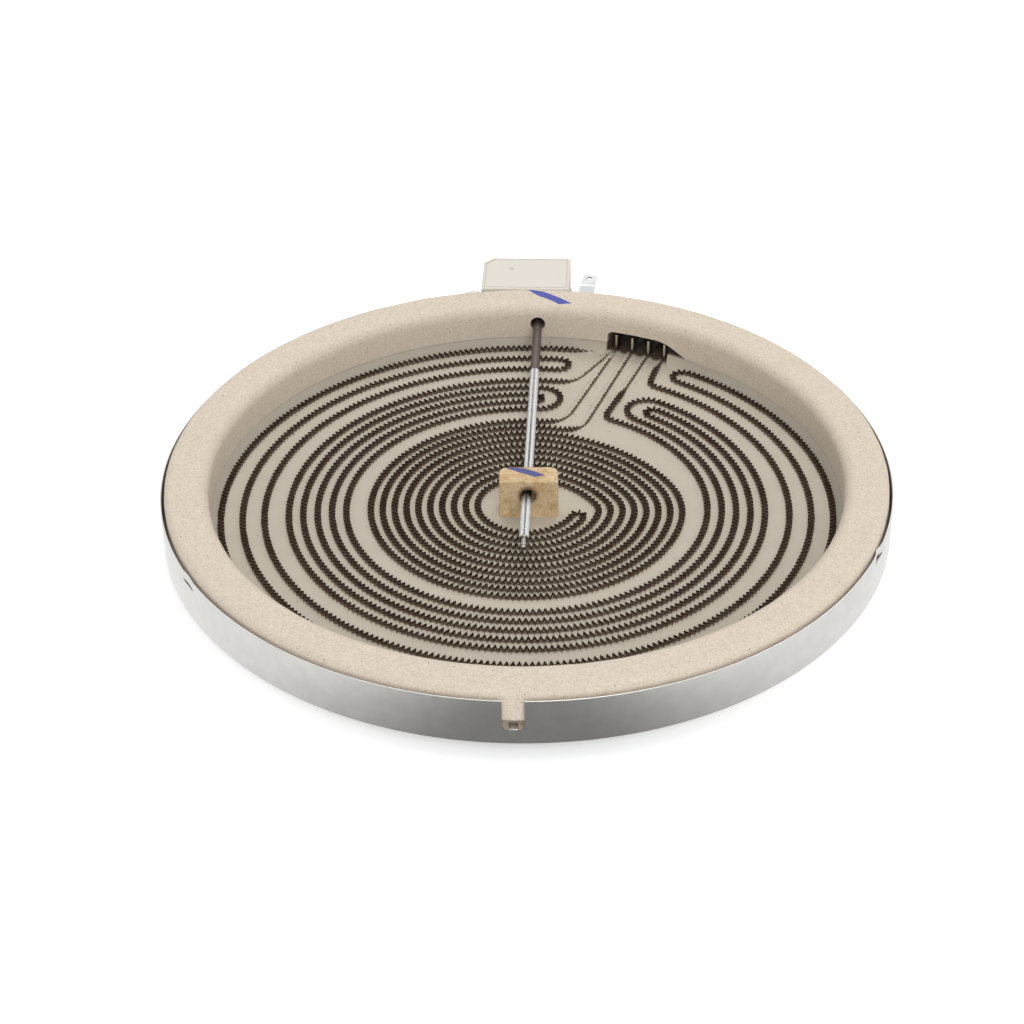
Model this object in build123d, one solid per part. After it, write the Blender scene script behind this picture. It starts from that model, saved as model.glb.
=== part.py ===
from build123d import *
import math
import os

# Three-circuit radiant heater of a glass-ceramic hob: a sheet tray with pressed insulation, corrugated
# heating ribbons standing in it, an insulation ring that bears on the glass, and a rod-type temperature
# limiter across the dish. Millimetres, +Z up, origin on the tray's axis at its lowest underside.

FULL_TURN = 360.0

# ---------------------------------------------------------------- tray
TRAY_RADIUS = 154.0
SHEET = 0.6
SHOULDER_HEIGHT = 6.0
SHOULDER_WIDTH = 15.0
STEP_RUN = 4.0
TRAY_WALL_HEIGHT = 21.5
TRAY_BEND_RADIUS = 2.4
FIRST_SLOT_AZIMUTH = 267.8
SLOT_COUNT = 3
SLOT_WIDTH = 8.6
SLOT_DEPTH = 14.1
SLOT_CORNER_RADIUS = 2.0
LUG_WIDTH = 3.6
LUG_LENGTH = 4.2
CRIMP_AZIMUTHS = (208.0, 337.5)
CRIMP_LENGTH = 10.0
CRIMP_STRIP_HEIGHT = 3.6
CRIMP_SLIT = 0.5
CRIMP_CLEARANCE = 0.1

# ---------------------------------------------------------------- insulation
DISH_FLOOR = 10.3
DISH_COVE = 1.9
BASE_RIM_HEIGHT = 5.1
RING_LEDGE = 0.5
RING_GAP = 1.2
RING_WIDTH = 18.5
RING_HEIGHT = 15.8
RING_OUTER_ROUND = 3.2
RING_INNER_ROUND = 5.5
RING_FOOT_CHAMFER = 1.8
POCKET_CLEARANCE = 0.2

# ---------------------------------------------------------------- heating ribbons
RIBBON_THICKNESS = 0.5
RIBBON_HEIGHT = 5.0
RIBBON_STAND = 1.4
LEAD_HEIGHT = 2.6
LEAD_STAND = 0.6
RIBBON_EDGE_GAP = 1.5
OUTER_PITCH = 9.2
OUTER_RIGHT_AZIMUTH = 55.3
OUTER_LEFT_AZIMUTH = 82.3
OUTER_FIRST_AZIMUTH = 78.0
OUTER_LAST_AZIMUTH = 58.5
OUTER_EXIT_HEADING = 75.0
OUTER_EXIT_LENGTH = 13.5
OUTER_ZONE_GAP = 10.3
MIDDLE_PITCH = 6.08
MIDDLE_WIDE_RIGHT_AZIMUTH = 54.3
MIDDLE_NARROW_RIGHT_AZIMUTH = 53.2
MIDDLE_WIDE_LEFT_AZIMUTH = 85.6
MIDDLE_NARROW_LEFT_AZIMUTH = 87.0
MIDDLE_FIRST_AZIMUTH = 79.5
MIDDLE_LAST_AZIMUTH = 62.0
MIDDLE_EXIT_HEADING = 67.0
MIDDLE_EXIT_LENGTH = 20.0
INNER_ZONE_GAP = 10.4
SPIRAL_PITCH = 5.05
SPIRAL_EYE_RADIUS = 20.0
SPIRAL_SHIFT_START_AZIMUTH = -12.0
SPIRAL_SHIFT_END_AZIMUTH = 67.0
SPIRAL_FIRST_AZIMUTH = 78.0
SPIRAL_SECOND_AZIMUTH = 70.5
SPIRAL_HAIRPIN_AZIMUTH = -22.5
RIBBON_TURN_RADIUS = 4.0

# ---------------------------------------------------------------- terminals in the wall
BLADE_WIDTH = 6.3
BLADE_THICKNESS = 0.8
BLADE_LENGTH = 8.5
BLADE_TIP_TAPER = 1.0
BLADE_HOLE = 2.0
EARTH_BLADE_HOLE = 2.6
TERMINAL_AZIMUTH = 66.8
TERMINAL_COUNT = 4
TERMINAL_PITCH = 7.9
TERMINAL_NAMES = ("common_terminal", "inner_terminal", "middle_terminal", "outer_terminal")
PIN_SETBACK = 2.3
PIN_WIDTH = 1.0
PIN_HEIGHT = 7.6
TERMINAL_STRIP_WIDTH = 2.4
TERMINAL_LIFT = 0.4
TERMINAL_FIT = 0.1
BLOCK_DEPTH = 12.0
BLOCK_HEIGHT = 11.0
BLOCK_ROUND = 1.5
BLOCK_RIVET_LAND = 3.6
BLOCK_RIVET_MARGIN = 4.4
SPIGOT_HEIGHT = 2.4
SPIGOT_MARGIN = 4.5
WINDOW_CLEARANCE = 0.3
ARCH_LEFT_MARGIN = 3.6
ARCH_RIGHT_MARGIN = 12.0
ARCH_HEIGHT = 10.8
ARCH_SLOPE_RUN = 11.5
ARCH_LEFT_ROUND = 3.0
ARCH_RIGHT_ROUND = 4.0
RIVET_RADIUS = 1.5
RIVET_HEAD_RADIUS = 2.7
RIVET_HEAD_HEIGHT = 0.8

# ---------------------------------------------------------------- rod of the limiter
ROD_YAW = 2.4
ROD_OFFSET = 0.3
ROD_ABOVE_FLOOR = 11.1
ROD_RADIUS = 0.75
ROD_RUNNING_CLEARANCE = 0.05
ROD_TRAVEL = 0.8
TUBE_RADIUS = 2.05
TUBE_BORE_RADIUS = 1.3
TUBE_TIP = -39.0
SLEEVE_REACH = 61.4
FERRULE_LENGTH = 7.5
FERRULE_WASHER = 0.8
FERRULE_WASHER_RADIUS = 1.9
FERRULE_BARREL_RADIUS = 1.15
FERRULE_COLLAR = 1.0
FERRULE_COLLAR_RADIUS = 1.55
FERRULE_NOSE = 1.6
RING_ROD_HOLE_RADIUS = 3.45
RING_ROD_HOLE_RISE = 0.8
WALL_ROD_CLEARANCE = 0.8

# ---------------------------------------------------------------- centre support block
CENTRE_BLOCK_WIDTH = 24.9
CENTRE_BLOCK_DEPTH = 11.7
CENTRE_BLOCK_ABOVE_ROD = 6.8
CENTRE_BLOCK_SINK = 2.0
CENTRE_BLOCK_X = 0.85
CENTRE_BLOCK_Y = -1.75
CENTRE_BLOCK_BACK_ROUND = 3.5
CENTRE_BLOCK_EDGE_ROUND = 0.8
CENTRE_HOLE_RADIUS = 3.45
CENTRE_HOLE_X = 0.45
CENTRE_HOLE_DROP = 0.7

# ---------------------------------------------------------------- limiter head
HEAD_RIGHT = 14.2
HEAD_STANDOFF = 1.6
HEAD_DEPTH = 30.2
HEAD_ABOVE_ROD = 6.6
HEAD_BELOW_ROD = 11.6
HEAD_WALL = 2.5
HEAD_SIDE_CLEARANCE = 0.5
HEAD_EDGE_ROUND = 1.0
HEAD_GROOVE_INSET = 1.3
HEAD_GROOVE_WIDTH = 0.5
HEAD_GROOVE_DEPTH = 0.5
HEAD_CORNER_CHAMFER = 4.2
HEAD_PINHOLE_RADIUS = 0.8
HEAD_PINHOLE_X = -13.8
HEAD_PINHOLE_FROM_BACK = 11.0
HEAD_FIT = 0.1
COVER_THICKNESS = 3.2
SLEEVE_SEAT_DEPTH = 2.0
SCREW_RADIUS = 1.5
SCREW_HEAD_RADIUS = 2.8
SCREW_HEAD_HEIGHT = 2.0
SCREW_BOSS_RADIUS = 3.0
SCREW_ENGAGEMENT = 8.0
FRONT_SCREW_X = -11.8
BACK_SCREW_X = 2.6
BACK_SCREW_FROM_BACK = 3.7

# ---------------------------------------------------------------- limiter switch gear
COLLAR_RADIUS = 3.0
COLLAR_LENGTH = 2.0
COLLAR_STANDOFF = 6.1
ROD_END_LENGTH = 1.4
SPRING_LEAF = 0.4
SPRING_WIDTH = 3.6
SPRING_SPAN = 9.0
LEVER_ARM = 7.5
LEVER_REACH = 13.5
LEVER_THICKNESS = 1.2
LEVER_BAR = 2.0
LEVER_BOSS_RADIUS = 2.4
LEVER_NOSE_RADIUS = 1.2
LEVER_ROD_GAP = 0.25
NOSE_GAP = 0.05
PIVOT_RADIUS = 0.8
PIVOT_RUNNING_CLEARANCE = 0.05
SPACER_WALL = 0.8
SPACER_GAP = 0.1
CONTACT_RADIUS = 1.3
CONTACT_HEIGHT = 0.8
CONTACT_ARM = 12.0
CONTACT_GAP = 0.05
PIVOT_BLADE_OFFSET = 1.45
LIMITER_BLADE_PITCH = 7.6
UPRIGHT_WIDTH = 4.0

# ---------------------------------------------------------------- limiter bracket
BRACKET_SHEET = 0.8
BRACKET_FIRST_AZIMUTH = 77.4
BRACKET_LAST_AZIMUTH = 100.8
BRACKET_RIM_GAP = 1.0
BRACKET_LIP_HEIGHT = 4.0
EARTH_TAB_AZIMUTH = 79.2
EARTH_TAB_WIDTH = 7.2
EARTH_TAB_RISE = 2.9
EARTH_TAB_SHOULDER = 1.6
LEFT_FLANGE_AZIMUTH = 99.2
LEFT_FLANGE_RISE = 1.2
BRACKET_BEND_RADIUS = 0.6
BRACKET_RIVET_HEIGHT = 19.0

# ---------------------------------------------------------------- derived places
RIM_HEIGHT = SHOULDER_HEIGHT + TRAY_WALL_HEIGHT
TRAY_INNER_RADIUS = TRAY_RADIUS - SHEET
DEEP_FLOOR_RADIUS = TRAY_RADIUS - SHOULDER_WIDTH
SLOT_BOTTOM = RIM_HEIGHT - SLOT_DEPTH
SLOT_STEP = FULL_TURN / SLOT_COUNT
RING_FOOT = DISH_FLOOR + BASE_RIM_HEIGHT
RING_TOP = RING_FOOT + RING_HEIGHT
RING_OUTER_RADIUS = TRAY_INNER_RADIUS - RING_GAP
RING_INNER_RADIUS = RING_OUTER_RADIUS - RING_WIDTH
DISH_RADIUS = RING_INNER_RADIUS - RING_LEDGE - DISH_COVE
RIBBON_FOOT = DISH_FLOOR + RIBBON_STAND - RIBBON_HEIGHT
LEAD_FOOT = DISH_FLOOR + LEAD_STAND - LEAD_HEIGHT
OUTER_TRACK_RADII = [DISH_RADIUS - RIBBON_EDGE_GAP - OUTER_PITCH * i for i in range(3)]
MIDDLE_TRACK_RADII = [OUTER_TRACK_RADII[-1] - OUTER_ZONE_GAP - MIDDLE_PITCH * i for i in range(5)]
SPIRAL_RADIUS = MIDDLE_TRACK_RADII[-1] - INNER_ZONE_GAP
SPIRAL_TURNS = 1 + int((SPIRAL_RADIUS - SPIRAL_EYE_RADIUS) / (2 * SPIRAL_PITCH))
STRIP_FLOOR = DISH_FLOOR + TERMINAL_LIFT
PIN_RADIUS = RING_INNER_RADIUS + PIN_SETBACK
TERMINAL_SPAN = TERMINAL_PITCH * (TERMINAL_COUNT - 1)
SPIGOT_WIDTH = TERMINAL_SPAN + 2 * SPIGOT_MARGIN
BLOCK_FOOT = STRIP_FLOOR + BLADE_THICKNESS / 2 - BLOCK_HEIGHT / 2
BLOCK_FACE = TRAY_RADIUS + BLOCK_DEPTH
BLOCK_RIVET_OFFSET = TERMINAL_SPAN / 2 + BLADE_WIDTH / 2 + BLOCK_RIVET_LAND
BLOCK_WIDTH = 2 * (BLOCK_RIVET_OFFSET + BLOCK_RIVET_MARGIN)
ROD_AXIS_HEIGHT = DISH_FLOOR + ROD_ABOVE_FLOOR
SLEEVE_INNER_END = TRAY_RADIUS - SLEEVE_REACH
PIVOT_X = -LEVER_ARM
PIVOT_BLADE_X = PIVOT_X + PIVOT_BLADE_OFFSET
SIGNAL_BLADE_X = PIVOT_BLADE_X - LIMITER_BLADE_PITCH
LIMIT_BLADE_X = SIGNAL_BLADE_X - LIMITER_BLADE_PITCH
HEAD_LEFT = BLADE_WIDTH / 2 - LIMIT_BLADE_X + HEAD_SIDE_CLEARANCE + HEAD_WALL
HEAD_FRONT = TRAY_RADIUS + BRACKET_SHEET + HEAD_STANDOFF
HEAD_BACK = HEAD_FRONT + HEAD_DEPTH
HEAD_TOP = ROD_AXIS_HEIGHT + HEAD_ABOVE_ROD
HEAD_FOOT = ROD_AXIS_HEIGHT - HEAD_BELOW_ROD
CAVITY_FRONT = HEAD_FRONT + HEAD_WALL
CAVITY_BACK = HEAD_BACK - HEAD_WALL
CAVITY_ROOF = HEAD_TOP - HEAD_WALL
COVER_TOP = HEAD_FOOT + COVER_THICKNESS
COLLAR_FACE = CAVITY_FRONT + COLLAR_STANDOFF + COLLAR_LENGTH
PIVOT_Y = COLLAR_FACE + NOSE_GAP + LEVER_NOSE_RADIUS + 0.3
UPPER_LEVER_FOOT = ROD_AXIS_HEIGHT + ROD_RADIUS + LEVER_ROD_GAP
LOWER_LEVER_FOOT = ROD_AXIS_HEIGHT - ROD_RADIUS - LEVER_ROD_GAP - LEVER_THICKNESS
CONTACT_TRAVEL = ROD_TRAVEL * CONTACT_ARM / LEVER_ARM
SHELF_TOP = HEAD_FOOT
FRONT_SCREW_Y = CAVITY_FRONT + SCREW_BOSS_RADIUS
BACK_SCREW_Y = CAVITY_BACK - BACK_SCREW_FROM_BACK

LIMITER_FRAME = Location((ROD_OFFSET, 0, 0), (0, 0, -ROD_YAW))
TERMINAL_FRAME = Location((0, 0, 0), (0, 0, TERMINAL_AZIMUTH - 90))


# ---------------------------------------------------------------- helpers
def polar(radius, azimuth):
    """Point in plan at a radius and an azimuth in degrees."""
    angle = math.radians(azimuth)
    return (radius * math.cos(angle), radius * math.sin(angle))


def box_between(low, high):
    """Solid box between two corners."""
    size = [b - a for a, b in zip(low, high)]
    return Pos(*low) * Box(*size, align=(Align.MIN, Align.MIN, Align.MIN))


def upright_cylinder(x, y, foot, top, radius):
    """Solid cylinder that stands on Z."""
    return Pos(x, y, foot) * Cylinder(radius, top - foot, align=(Align.CENTER, Align.CENTER, Align.MIN))


def lengthwise_cylinder(x, z, start, end, radius):
    """Solid cylinder along Y."""
    lying = Rot(-90, 0, 0) * Cylinder(radius, end - start, align=(Align.CENTER, Align.CENTER, Align.MIN))
    return Pos(x, start, z) * lying


def at_azimuth(azimuth, part):
    """A part drawn looking out along +Y, turned to an azimuth."""
    return Rot(0, 0, azimuth - 90) * part


def spade(length, hole=BLADE_HOLE):
    """Flat blade along +Y from its root, with a tapered tip and a locking hole; its foot is at z = 0."""
    half = BLADE_WIDTH / 2
    outline = Polyline(
        (-half, 0),
        (half, 0),
        (half, length - BLADE_TIP_TAPER),
        (half - BLADE_TIP_TAPER, length),
        (BLADE_TIP_TAPER - half, length),
        (-half, length - BLADE_TIP_TAPER),
        close=True,
    )
    face = make_face(outline) - Pos(0, length * 0.6) * Circle(hole / 2)
    return extrude(face, BLADE_THICKNESS)


def wall_rivet(place, outer_face):
    """Rivet through the tray wall and what lies outside it, with a head at each end of its grip."""
    frame, x, height = place
    inner_face = math.sqrt(TRAY_INNER_RADIUS**2 - x**2) - RIVET_HEAD_HEIGHT
    inner_head = lengthwise_cylinder(x, height, inner_face, TRAY_RADIUS, RIVET_HEAD_RADIUS)
    inner_head &= Cylinder(TRAY_INNER_RADIUS, 4 * RIM_HEIGHT)
    outer_head = lengthwise_cylinder(x, height, outer_face, outer_face + RIVET_HEAD_HEIGHT, RIVET_HEAD_RADIUS)
    shank = lengthwise_cylinder(x, height, inner_face, outer_face, RIVET_RADIUS)
    return frame * (inner_head + shank + outer_head)


def rivet_hole(place):
    """Cylinder that clears a rivet's shank through the wall and what lies outside it."""
    frame, x, height = place
    start = TRAY_RADIUS - BLOCK_DEPTH / 2
    return frame * lengthwise_cylinder(x, height, start, TRAY_RADIUS + 2 * BLOCK_DEPTH, RIVET_RADIUS)


def block_rivet_places():
    """Frame, offset and height of the rivets that hold the terminal block."""
    height = BLOCK_FOOT + BLOCK_HEIGHT / 2
    return [(TERMINAL_FRAME, x, height) for x in (-BLOCK_RIVET_OFFSET, BLOCK_RIVET_OFFSET)]


def bracket_rivet_places():
    """Frame, offset and height of the rivets that hold the limiter bracket."""
    azimuths = (EARTH_TAB_AZIMUTH, LEFT_FLANGE_AZIMUTH)
    return [(Rot(0, 0, azimuth - 90), 0, BRACKET_RIVET_HEIGHT) for azimuth in azimuths]


# ---------------------------------------------------------------- tray and insulation
def pan_sections():
    """Half sections of the tray's sheet and of the room inside it, in the XZ plane."""
    deep = DEEP_FLOOR_RADIUS
    top = RIM_HEIGHT + SHEET
    half = [
        (deep, 0),
        (deep + STEP_RUN, SHOULDER_HEIGHT),
        (TRAY_RADIUS, SHOULDER_HEIGHT),
        (TRAY_RADIUS, top),
    ]
    mirrored = [(-x, z) for x, z in reversed(half)]
    outside = make_face(Polyline(*half, *mirrored, close=True))
    shoulder = outside.vertices().group_by(Axis.Y)[1].sort_by(Axis.X)
    outside = fillet([shoulder[0], shoulder[-1]], TRAY_BEND_RADIUS)
    inside = offset(outside, -SHEET, kind=Kind.INTERSECTION)
    right_half = Pos(TRAY_RADIUS, RIM_HEIGHT / 2) * Rectangle(2 * TRAY_RADIUS, RIM_HEIGHT)
    return (outside - inside) & right_half, inside & right_half


def revolved(section):
    """Body of revolution from a half section in the XZ plane."""
    return revolve(Plane.XZ * section, Axis.Z)


def holder_slots():
    """Tools that cut the slots in the tray wall, one at each slot azimuth."""
    outline = Rectangle(SLOT_WIDTH, 2 * SLOT_DEPTH)
    outline = fillet(outline.vertices(), SLOT_CORNER_RADIUS)
    tool = extrude(Plane.XZ * Pos(0, RIM_HEIGHT) * outline, -TRAY_RADIUS - SHEET)
    tool &= Pos(0, TRAY_RADIUS, RIM_HEIGHT) * Box(SLOT_WIDTH, 8 * SHEET, 4 * SLOT_DEPTH)
    return [at_azimuth(slot_azimuth(i), tool) for i in range(SLOT_COUNT)]


def slot_azimuth(index):
    """Azimuth of a holder slot."""
    return FIRST_SLOT_AZIMUTH + index * SLOT_STEP


def lug():
    """Tongue left at a slot's foot and folded inwards."""
    tongue = box_between(
        (-LUG_WIDTH / 2, TRAY_RADIUS - SHEET - LUG_LENGTH, SLOT_BOTTOM),
        (LUG_WIDTH / 2, TRAY_RADIUS - SHEET / 4, SLOT_BOTTOM + SHEET),
    )
    return tongue


def crimp_window():
    """Piece of the rim that a crimp's strip and slit take up."""
    height = CRIMP_STRIP_HEIGHT + CRIMP_SLIT
    return box_between(
        (-CRIMP_LENGTH / 2, TRAY_RADIUS - 8 * SHEET, RIM_HEIGHT - height),
        (CRIMP_LENGTH / 2, TRAY_RADIUS + SHEET, RIM_HEIGHT + SHEET),
    )


def crimp_strip():
    """Strip of the rim bowed inwards until it holds the insulation ring."""
    depth = RING_GAP - CRIMP_CLEARANCE
    half = CRIMP_LENGTH / 2

    def bow(radius):
        end = math.sqrt(radius**2 - half**2)
        return ThreePointArc((-half, end), (0, radius - depth), (half, end))

    outer = bow(TRAY_RADIUS)
    inner = bow(TRAY_INNER_RADIUS)
    ends = Line(outer @ 0, inner @ 0) + Line(outer @ 1, inner @ 1)
    strip = extrude(make_face(outer + inner + ends), CRIMP_STRIP_HEIGHT)
    return Pos(0, 0, RIM_HEIGHT - CRIMP_STRIP_HEIGHT) * strip


def tray():
    """Pressed sheet pan with holder slots, folded lugs, crimps and the openings for rod and terminals."""
    body = revolved(pan_sections()[0])
    for tool in holder_slots():
        body -= tool
    for i in range(SLOT_COUNT):
        body += at_azimuth(slot_azimuth(i), lug())
    for azimuth in CRIMP_AZIMUTHS:
        body -= at_azimuth(azimuth, crimp_window())
        body += at_azimuth(azimuth, crimp_strip())
    window = Pos(0, TRAY_RADIUS, STRIP_FLOOR + BLADE_THICKNESS / 2) * Box(
        SPIGOT_WIDTH + 2 * WINDOW_CLEARANCE,
        20 * SHEET,
        SPIGOT_HEIGHT + 2 * WINDOW_CLEARANCE,
    )
    body -= TERMINAL_FRAME * window
    hole_radius = TUBE_RADIUS + WALL_ROD_CLEARANCE
    hole = lengthwise_cylinder(0, ROD_AXIS_HEIGHT, TRAY_RADIUS - 5, TRAY_RADIUS + 5, hole_radius)
    body -= LIMITER_FRAME * hole
    for place in block_rivet_places() + bracket_rivet_places():
        body -= rivet_hole(place) & Cylinder(TRAY_RADIUS + SHEET, 4 * RIM_HEIGHT)
    return body


def arch_tool():
    """Tool for the arch through ring and rim that the terminals stand in, upright left and sloped right."""
    left = -TERMINAL_SPAN / 2 - ARCH_LEFT_MARGIN
    right = TERMINAL_SPAN / 2 + ARCH_RIGHT_MARGIN
    outline = make_face(
        Polyline(
            (left, 0),
            (right, 0),
            (right - ARCH_SLOPE_RUN, ARCH_HEIGHT),
            (left, ARCH_HEIGHT),
            close=True,
        )
    )
    outline = fillet(outline.vertices().group_by(Axis.Y)[-1].sort_by(Axis.X)[0], ARCH_LEFT_ROUND)
    outline = fillet(outline.vertices().group_by(Axis.Y)[-1].sort_by(Axis.X)[-1], ARCH_RIGHT_ROUND)
    tool = extrude(Plane.XZ * Pos(0, DISH_FLOOR) * outline, -TRAY_RADIUS)
    near_wall = Pos(0, TRAY_RADIUS, 0) * Box(TRAY_RADIUS, 2 * (TRAY_RADIUS - DISH_RADIUS), 4 * RIM_HEIGHT)
    return TERMINAL_FRAME * (tool & near_wall)


def base_insulation():
    """Pressed dish of microporous insulation that fills the tray, with a rim for the ring."""
    rim_room = Pos(TRAY_RADIUS, RING_FOOT / 2) * Rectangle(2 * TRAY_RADIUS, RING_FOOT)
    section = pan_sections()[1] & rim_room
    dish = make_face(
        Polyline(
            (0, DISH_FLOOR),
            (DISH_RADIUS, DISH_FLOOR),
            (DISH_RADIUS + DISH_COVE, DISH_FLOOR + DISH_COVE),
            (DISH_RADIUS + DISH_COVE, RING_TOP),
            (0, RING_TOP),
            close=True,
        )
    )
    body = revolved(section - dish) - arch_tool()
    for i in range(SLOT_COUNT):
        notch = box_between(
            (-SLOT_WIDTH / 2, TRAY_INNER_RADIUS - LUG_LENGTH - POCKET_CLEARANCE, SLOT_BOTTOM),
            (SLOT_WIDTH / 2, TRAY_RADIUS, RING_TOP),
        )
        body -= at_azimuth(slot_azimuth(i), notch)
    for frame, x, height in block_rivet_places():
        half = RIVET_HEAD_RADIUS + POCKET_CLEARANCE
        depth = math.sqrt(TRAY_INNER_RADIUS**2 - x**2) - RIVET_HEAD_HEIGHT - POCKET_CLEARANCE
        pocket = box_between((x - half, depth, height - half), (x + half, TRAY_RADIUS, RING_TOP))
        body -= frame * pocket
    seat = box_between(
        (-CENTRE_BLOCK_WIDTH / 2, -CENTRE_BLOCK_DEPTH / 2, DISH_FLOOR - CENTRE_BLOCK_SINK),
        (CENTRE_BLOCK_WIDTH / 2, CENTRE_BLOCK_DEPTH / 2, RING_TOP),
    )
    return body - Pos(CENTRE_BLOCK_X, CENTRE_BLOCK_Y, 0) * seat


def insulation_ring():
    """Pressed vermiculite ring on the base's rim; its top bears on the glass."""
    width = RING_OUTER_RADIUS - RING_INNER_RADIUS
    outline = Rectangle(width, RING_HEIGHT, align=(Align.MIN, Align.MIN))
    section = Pos(RING_INNER_RADIUS, RING_FOOT) * outline
    section = chamfer(section.vertices().group_by(Axis.Y)[0].sort_by(Axis.X)[-1], RING_FOOT_CHAMFER)
    section = fillet(section.vertices().group_by(Axis.Y)[-1].sort_by(Axis.X)[-1], RING_OUTER_ROUND)
    section = fillet(section.vertices().group_by(Axis.Y)[-1].sort_by(Axis.X)[0], RING_INNER_ROUND)
    height = ROD_AXIS_HEIGHT + RING_ROD_HOLE_RISE
    hole = lengthwise_cylinder(0, height, DISH_RADIUS, TRAY_RADIUS, RING_ROD_HOLE_RADIUS)
    return revolved(section) - arch_tool() - LIMITER_FRAME * hole


def centre_block():
    """Support block in the middle of the dish with a hole that the rod rests in."""
    plan = Rectangle(CENTRE_BLOCK_WIDTH, CENTRE_BLOCK_DEPTH)
    plan = fillet(plan.vertices().group_by(Axis.Y)[-1], CENTRE_BLOCK_BACK_ROUND)
    plan = fillet(plan.vertices().group_by(Axis.Y)[0], CENTRE_BLOCK_EDGE_ROUND)
    top = ROD_AXIS_HEIGHT + CENTRE_BLOCK_ABOVE_ROD
    block = extrude(plan, top - DISH_FLOOR + CENTRE_BLOCK_SINK)
    block = fillet(block.edges().group_by(Axis.Z)[-1], CENTRE_BLOCK_EDGE_ROUND)
    block = Pos(CENTRE_BLOCK_X, CENTRE_BLOCK_Y, DISH_FLOOR - CENTRE_BLOCK_SINK) * block
    height = ROD_AXIS_HEIGHT - CENTRE_HOLE_DROP
    start = CENTRE_BLOCK_Y - CENTRE_BLOCK_DEPTH
    end = CENTRE_BLOCK_Y + CENTRE_BLOCK_DEPTH
    return block - lengthwise_cylinder(CENTRE_HOLE_X, height, start, end, CENTRE_HOLE_RADIUS)


# ---------------------------------------------------------------- heating ribbons
def track(radius, start, end):
    """Arc of a track about the tray's axis, between two azimuths."""
    return CenterArc((0, 0), radius, start, end - start)


def hairpin(first_radius, second_radius, azimuth, side):
    """Half turn that joins two tracks at an azimuth; side is +1 where it bulges anticlockwise."""
    middle = (first_radius + second_radius) / 2
    turn_radius = abs(first_radius - second_radius) / 2
    return CenterArc(polar(middle, azimuth), turn_radius, azimuth, side * 180)


def spiral_shift(radius, start, end):
    """Two tangent arcs that carry a spiral track two pitches inwards between two azimuths."""
    drop = 2 * SPIRAL_PITCH
    half_cosine = math.cos(math.radians((end - start) / 2))
    setback = drop * (1 + half_cosine) / (1 - math.cos(math.radians(end - start)))
    first_centre = Vector(*polar(setback, start))
    second_centre = Vector(*polar(-setback, end))
    first_radius = radius - setback
    second_radius = radius - drop + setback
    joint_heading = first_centre - second_centre
    joint_azimuth = math.degrees(math.atan2(joint_heading.Y, joint_heading.X))
    first_arc = CenterArc(first_centre, first_radius, start, joint_azimuth - start)
    second_arc = CenterArc(second_centre, second_radius, joint_azimuth, end - joint_azimuth)
    return [first_arc, second_arc]


def spiral_strand(index, first_azimuth, last_azimuth):
    """One of the two strands of the inner spiral, from its outer end to the hairpin."""
    edges = []
    start = first_azimuth
    for turn in range(SPIRAL_TURNS):
        radius = spiral_radius(index + 2 * turn)
        if turn == SPIRAL_TURNS - 1:
            edges.append(track(radius, start, last_azimuth))
        else:
            edges.append(track(radius, start, FULL_TURN + SPIRAL_SHIFT_START_AZIMUTH))
            edges += spiral_shift(radius, SPIRAL_SHIFT_START_AZIMUTH, SPIRAL_SHIFT_END_AZIMUTH)
            start = SPIRAL_SHIFT_END_AZIMUTH
    return edges


def spiral_radius(index):
    """Radius of a spiral track, counted from the outermost."""
    return SPIRAL_RADIUS - SPIRAL_PITCH * index


def lead(end_of_track, pin_index, across, along):
    """Straight lead from a track end to a pin, landing a share of the pin's half size off its middle."""
    x = terminal_offset(pin_index) + across * PIN_WIDTH / 2
    y = PIN_RADIUS + along * BLADE_THICKNESS / 2
    landing = (TERMINAL_FRAME * Pos(x, y)).position
    return Line(end_of_track, (landing.X, landing.Y))


def exit_run(last_track, heading, length):
    """Turn from the end of a track towards the terminals, and the straight run after it."""
    arrival = last_track % 1
    arrival_heading = math.degrees(math.atan2(arrival.Y, arrival.X))
    turn = (heading - arrival_heading) % FULL_TURN - FULL_TURN
    bend = JernArc(last_track @ 1, arrival, RIBBON_TURN_RADIUS, turn)
    way = Vector(*polar(length, heading))
    return [bend, Line(bend @ 1, bend @ 1 + way)]


def terminal_offset(index):
    """Sideways place of a terminal in the terminals' frame."""
    return (index - (TERMINAL_COUNT - 1) / 2) * TERMINAL_PITCH


def upright_band(edges, foot, height):
    """Strip on edge along a chain of edges."""
    outline = offset(Wire(edges), RIBBON_THICKNESS / 2, side=Side.BOTH, closed=True)
    return Pos(0, 0, foot) * extrude(make_face(outline), height)


def ribbon(tracks, leads):
    """One circuit: its tall ribbon, and the leads that lie deeper in the insulation."""
    body = upright_band(tracks, RIBBON_FOOT, RIBBON_HEIGHT)
    for run in leads:
        body += upright_band([run], LEAD_FOOT, LEAD_HEIGHT)
    return body


def outer_ribbon():
    """Three tracks near the ring, joined by two hairpins."""
    first, second, third = OUTER_TRACK_RADII
    right = FULL_TURN + OUTER_RIGHT_AZIMUTH
    last = track(third, OUTER_LEFT_AZIMUTH, FULL_TURN + OUTER_LAST_AZIMUTH)
    tracks = [
        track(first, OUTER_FIRST_AZIMUTH, right),
        hairpin(first, second, OUTER_RIGHT_AZIMUTH, 1),
        track(second, right, OUTER_LEFT_AZIMUTH),
        hairpin(second, third, OUTER_LEFT_AZIMUTH, -1),
        last,
    ]
    run_out = exit_run(last, OUTER_EXIT_HEADING, OUTER_EXIT_LENGTH)
    leads = [lead(tracks[0] @ 0, 0, -1, 0.5), lead(run_out[-1] @ 1, 3, 0, -1)]
    return ribbon(tracks + run_out, leads)


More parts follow.
